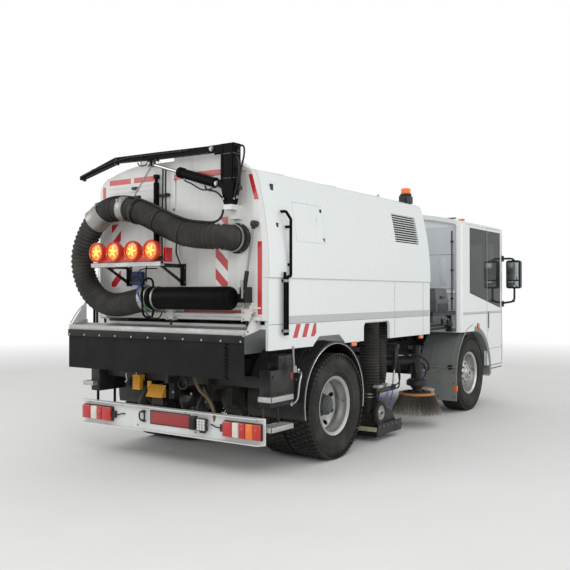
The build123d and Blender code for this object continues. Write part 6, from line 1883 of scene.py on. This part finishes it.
@piece("mirror_trim", "chassis", 34)
def mirrorTrim(shape):
    for side in (-1, 1):
        y = side * 1.42
        for z0, z1 in ((1.895, 2.165), (1.785, 1.875)):
            shape.box(mirrorGlass, 0.0018, (5.0915, y - 0.086, z0, 5.0955, y + 0.086, z1))
            shape.box(trim, 0.0015, (5.093, y - 0.093, z0 - 0.007, 5.0965, y + 0.093, z1 + 0.007))
        shape.box(mirrorShell, 0.03, (5.1, y - 0.095, 2.1, 5.222, y + 0.095, 2.196))
        for z in (1.52, 2.23):
            shape.rod((5.115, y, z + (0.028 if z < 2 else -0.05)),
                (5.115, y, z + (0.068 if z < 2 else -0.01)), 0.021, trim, 20, bevel=0.003)
            for dx in (-0.005, 0.035):
                shape.bolt((5.1 + dx, side * 1.2605, z), (0, side, 0), 0.007, trim)


print("cab trimmed")


# Cab inside
seat = {"x": 4.08, "y": 0.68, "floor": 1.19}


def padded(name, centre, size, lean, channels=0):
    # crowned pad whose sides pull in between its corners, with sewn channels and piping along its seam
    part = bmesh.new()
    bmesh.ops.create_cube(part, size=2)
    bmesh.ops.subdivide_edges(part, edges=part.edges[:], cuts=13, use_grid_fill=True)
    turn = Matrix.Translation(centre) @ Matrix.Rotation(math.radians(lean), 4, "Y")
    half = Vector(size) / 2
    for vert in part.verts:
        u, v, w = vert.co
        round_ = (abs(u) ** 6 + abs(v) ** 6 + abs(w) ** 6) ** (-1 / 6)
        waist = 1 - 0.035 * math.cos(w * math.pi / 2) ** 2 * (1 - abs(u * v))
        groove = 0.012 * abs(math.cos(v * math.pi * channels / 2)) ** 14 if channels and w > 0.5 else 0
        vert.co = (u * round_ * half.x * waist, v * round_ * half.y * waist,
            w * round_ * half.z * (1 + 0.1 * (1 - u * u) * (1 - v * v)) - groove)
    shape = Shape()
    shape.take(part, seatCloth, turn)
    edge = []
    for k in range(48):
        a = math.tau * k / 48
        c, s = math.cos(a), math.sin(a)
        grow = (abs(c) ** 6 + abs(s) ** 6) ** (-1 / 6)
        edge.append(turn @ vec(c * grow * half.x * 0.955, s * grow * half.y * 0.955, half.z * 0.62))
    shape.pipe(edge, 0.004, trim, 2, closed=True)
    piece = shape.put(name, "chassis", 50)


def cabSeats():
    stand = Shape()
    for side, name in bothSides:
        y = side * seat["y"]
        base = at(seat["x"], y, seat["floor"])
        stand.slab(base + vec(-0.15, -0.18, 0), base + vec(0.22, 0.18, 0.05), trim, 0.006)
        bellows = tuple((0.155 + (0.012 if k % 2 else 0), 0.05 + k * 0.012) for k in range(11))
        stand.lathe(((0, 0.05),) + bellows + ((0, 0.17),), base + vec(0.035, 0, 0), up, cord, 32)
        stand.slab(base + vec(-0.18, -0.2, 0.168), base + vec(0.26, 0.2, 0.192), satin, 0.004)
        hinge = base + vec(-0.17, 0, 0.25)
        for edge in (-0.235, 0.205):
            stand.slab(hinge + vec(-0.04, edge, -0.06), hinge + vec(0.05, edge + 0.03, 0.1), trim, 0.006)
        stand.rod(base + vec(-0.275, -0.06, 0.84), base + vec(-0.282, -0.06, 0.93), 0.007, chrome, 12)
        stand.rod(base + vec(-0.275, 0.06, 0.84), base + vec(-0.282, 0.06, 0.93), 0.007, chrome, 12)
        stand.pipe([at(3.74, y + side * 0.26, 2.2), base + vec(-0.16, side * 0.2, 0.92), base + vec(-0.13,
            side * 0.22, 0.55), base + vec(-0.05, side * 0.25, 0.2)], 0.008, trim, 1)
        padded("seat_cushion_" + name, base + vec(0.05, 0, 0.255), (0.47, 0.485, 0.135), -4, 3)
        padded("seat_back_" + name, base + vec(-0.215, 0, 0.6), (0.6, 0.465, 0.105), -98, 3)
        padded("head_rest_" + name, base + vec(-0.282, 0, 0.975), (0.19, 0.26, 0.085), -96)
    stand.put("seat_stands", "chassis", 34, replace=("cab_seats",))


cabSeats()


@piece("dash_trim", "chassis", 34)
def dashTrim(shape):
    for y in (0.6, 0.76):
        shape.lathe(((0, 0.001), (0.055, 0.001), (0.058, 0.006), (0.064, 0.006), (0.064, -0.004)),
            (4.887, y, 1.352), (-0.8, 0, 0.6), frit, 32)
    shape.box(frit, 0.002, (4.876, -0.12, 1.19, 4.884, 0.12, 1.3))
    for y in (-0.85, -0.3, 0.28, 0.95):
        for k in range(5):
            shape.box(trim, 0, (4.874, y - 0.06, 1.205 + k * 0.018, 4.884, y + 0.06, 1.213 + k * 0.018))
    for k in range(6):
        shape.box(trim, 0.002, (4.872, 0.16 + k * 0.035 - 0.01, 1.16 + 0.145, 4.884,
            0.16 + k * 0.035 + 0.014, 1.325))
    hub = at(4.7, 0.68, 1.54)
    out = vec(-math.sin(math.radians(40)), 0, math.cos(math.radians(40)))
    shape.lathe(((0, 0.024), (0.05, 0.022), (0.066, 0.012), (0.068, -0.01), (0, -0.012)), hub, out, trim, 40)
    shape.rod((4.72, 0.5, 1.46), (4.66, 0.4, 1.5), 0.008, trim, 12)
    for k, y in enumerate((0.58, 0.7, 0.82)):
        shape.box(trim, 0.003, (4.9, y - 0.03, 1.195, 4.935, y + 0.03, 1.23 + 0.02 * k))
    shape.box(rubberDark, 0, (3.5, -1.16, 1.1965, 4.64, 1.16, 1.2))


# Behind the cab
@piece("walkway_trim", "chassis", 32)
def boxTrim(shape):
    for y in (-1, -0.79):
        shape.box(trim, 0.003, (2.742, y - 0.02, 1.545, 2.752, y + 0.02, 1.625))
        shape.box(chrome, 0.002, (2.735, y - 0.012, 1.555, 2.744, y + 0.012, 1.6))
        shape.rod((3.19, y - 0.04, 1.585), (3.19, y + 0.04, 1.585), 0.01, trim, 16)
    for x in spaced(2.83, 0.07, 5):
        shape.box(boxGrey, 0.005, (x, -1.165, 1.455, x + 0.02, -1.139, 1.545))
        shape.box(boxGrey, 0.004, (x, -1.105, 1.738, x + 0.02, -0.7, 1.752))
    shape.box(trim, 0.004, (2.9, -1.158, 1.615, 3.03, -1.142, 1.645))
    for k in range(22):
        for y in (-1.16, -0.6, -0.02, 0.55):
            x = 2.575 + k * 0.034
            shape.box(satin, 0, (x, y, 1.4285, x + 0.006, y + 0.5, 1.4335))
    for y in (-1.165, 1.165):
        shape.pipe([(x, y, 1.435) for x in (2.57, 2.85, 3.1, 3.33)], 0.01, satin, 2)
    runs = (((3.36, -1.05, 1.3), (3.3, -1.13, 1.3), (3.22, -1.16, 1.28), (3.05, -1.15, 1.26),
        (2.6, -1.1, 1.25)), ((3.37, -0.98, 1.25), (3.28, -1.1, 1.22), (3.1, -1.12, 1.21), (2.6, -1.05, 1.2)),
        ((3.4, -0.7, 1.36), (3.36, -0.95, 1.4), (3.3, -1.12, 1.36), (3.27, -1.16, 1.24)))
    for run in runs:
        shape.pipe(run, 0.013, cord)
    for x, y, z in ((3.24, -1.15, 1.22), (3.12, -1.16, 1.28), (3.3, -1.1, 1.34), (2.95, -1.15, 1.3)):
        shape.rod((x, y, z - 0.04), (x, y, z + 0.045), 0.022, satin, 16, bevel=0.003)
        shape.rod((x, y, z + 0.045), (x, y, z + 0.06), 0.013, boltSteel, 6)
    shape.box(satin, 0.004, (3.18, -1.19, 1.16, 3.345, -1.1, 1.2))
    shape.box(satin, 0.003, (3.2, -1.17, 1.19, 3.23, -1.12, 1.386), (2.62, -1.13, 1.3, 2.68, -1.06, 1.386))


# Chassis trim
@piece("housing_trim", "chassis", 32)
def housingTrim(shape):
    for side in (-1, 1):
        y0, y1 = side * 0.7, side * 1.247
        shape.box(housingGrey, 0.002, (3.2035, y0, 0.655, 3.2095, y1, 0.69))
        strap = [at(3.9 - math.cos(a) * 0.7, side * 1.2435,
            0.538 + math.sin(a) * 0.7) for a in [math.radians(12 + k * 6) for k in range(13)]]
        shape.pipe(strap, 0.006, housingGrey, 2)
        shape.box(satin, 0.004, (3.185, side * 1.16 - 0.03, 0.645, 3.2105, side * 1.16 + 0.03, 0.7))
        shape.rod((3.19, side * 1.16 - 0.045, 0.672), (3.19, side * 1.16 + 0.045, 0.672), 0.009, chrome, 12)
        shape.box(amberDull, 0.004, (3.208, side * 1.205, 0.345, 3.24, side * 1.25, 0.42))
        for z in (0.26, 0.45, 0.6):
            for y in (0.74, 0.98, 1.2):
                shape.bolt((3.2095, side * y, z), aft, 0.008, trim)


@piece("frame_end_trim", "chassis", 32)
def chockTrim(shape):
    wedge = ((-1.134, 0.64), (-1.064, 0.64), (-1.064, 0.762))
    for k in range(7):
        sidePlate(shape, wedge, 0.122 + k * 0.034, 0.006, chockYellow)
    for k in range(5):
        shape.box(chockYellow, 0.002, (-1.134, 0.418, 0.7 + k * 0.032, -1.128, 0.522, 0.708 + k * 0.032))
    shape.rod((-1.125, 0.47, 0.85), (-1.125, 0.47, 0.875), 0.008, boltSteel, 10)
    hook = [at(-1.14, 0.6, 0.86), at(-1.145, 0.6, 0.82), at(-1.14, 0.585, 0.79), at(-1.145, 0.61, 0.77)]
    shape.pipe(hook, 0.006, chrome, 2)
    for y0, y1 in ((0.415, 0.3), (-0.39, -0.54)):
        gusset = [at(-1.075, y, z) for y, z in ((y0, 0.8), (y0, 0.58), (y1, 0.58))]
        shape.plate(gusset, vec(-0.012, 0, 0), fenderBlack, 0.001)
        shape.bolt((-1.087, y0 + (y1 - y0) * 0.25, 0.64), aft, 0.01)
    shape.lathe(((0.052, 0), (0.066, 0), (0.066, 0.016), (0.052, 0.016)), (-1.064, -0.118, 0.8), aft,
        satin, 40, True)
    drain = ((-1.2, -0.38, 0.9), (-1.21, -0.42, 0.78), (-1.2, -0.56, 0.7), (-1.18, -0.62, 0.55),
        (-1.16, -0.6, 0.47))
    shape.pipe(drain, 0.017, drainBrown, 3)
    shape.box(satin, 0.003, (-1.22, -0.39, 0.885, -1.1, -0.36, 0.915))
    for y, z in ((0.3, 0.93), (-0.3, 0.93), (0.18, 0.93), (-0.22, 0.7), (0.02, 0.7), (0.05, 0.93)):
        shape.bolt((-1.0605, y, z), aft, 0.011, boltSteel)


@piece("frame_trim", "chassis", 32)
def underTrim(shape):
    for side in (-1, 1):
        for k in range(26):
            x = -0.95 + k * 0.225
            shape.bolt((x, side * 0.4305, 0.96 if k % 2 else 0.78), (0, side, 0), 0.01, satin)
        line = [at(x, side * 0.36, 0.9 + 0.02 * math.sin(x * 3)) for x in (-0.9, 0, 0.9, 1.8, 2.7, 3.6, 4.5)]
        shape.pipe(line, 0.008, cord, 2)
        shape.pipe([p + vec(0, -side * 0.03, -0.02) for p in line], 0.005, wireBlue, 2)
    shaft = [at(x, 0, z) for x, z in ((0.32, 0.6), (1, 0.68), (1.9, 0.78))]
    for a, b in zip(shaft, shaft[1:]):
        shape.rod(a, b, 0.045, ironDark, 24)
        shape.lathe(((0.045, -0.02), (0.075, -0.02), (0.08, 0), (0.075, 0.02), (0.045, 0.02)), b, b - a,
            ironDark, 24, True)


print("cab inside and chassis trimmed")
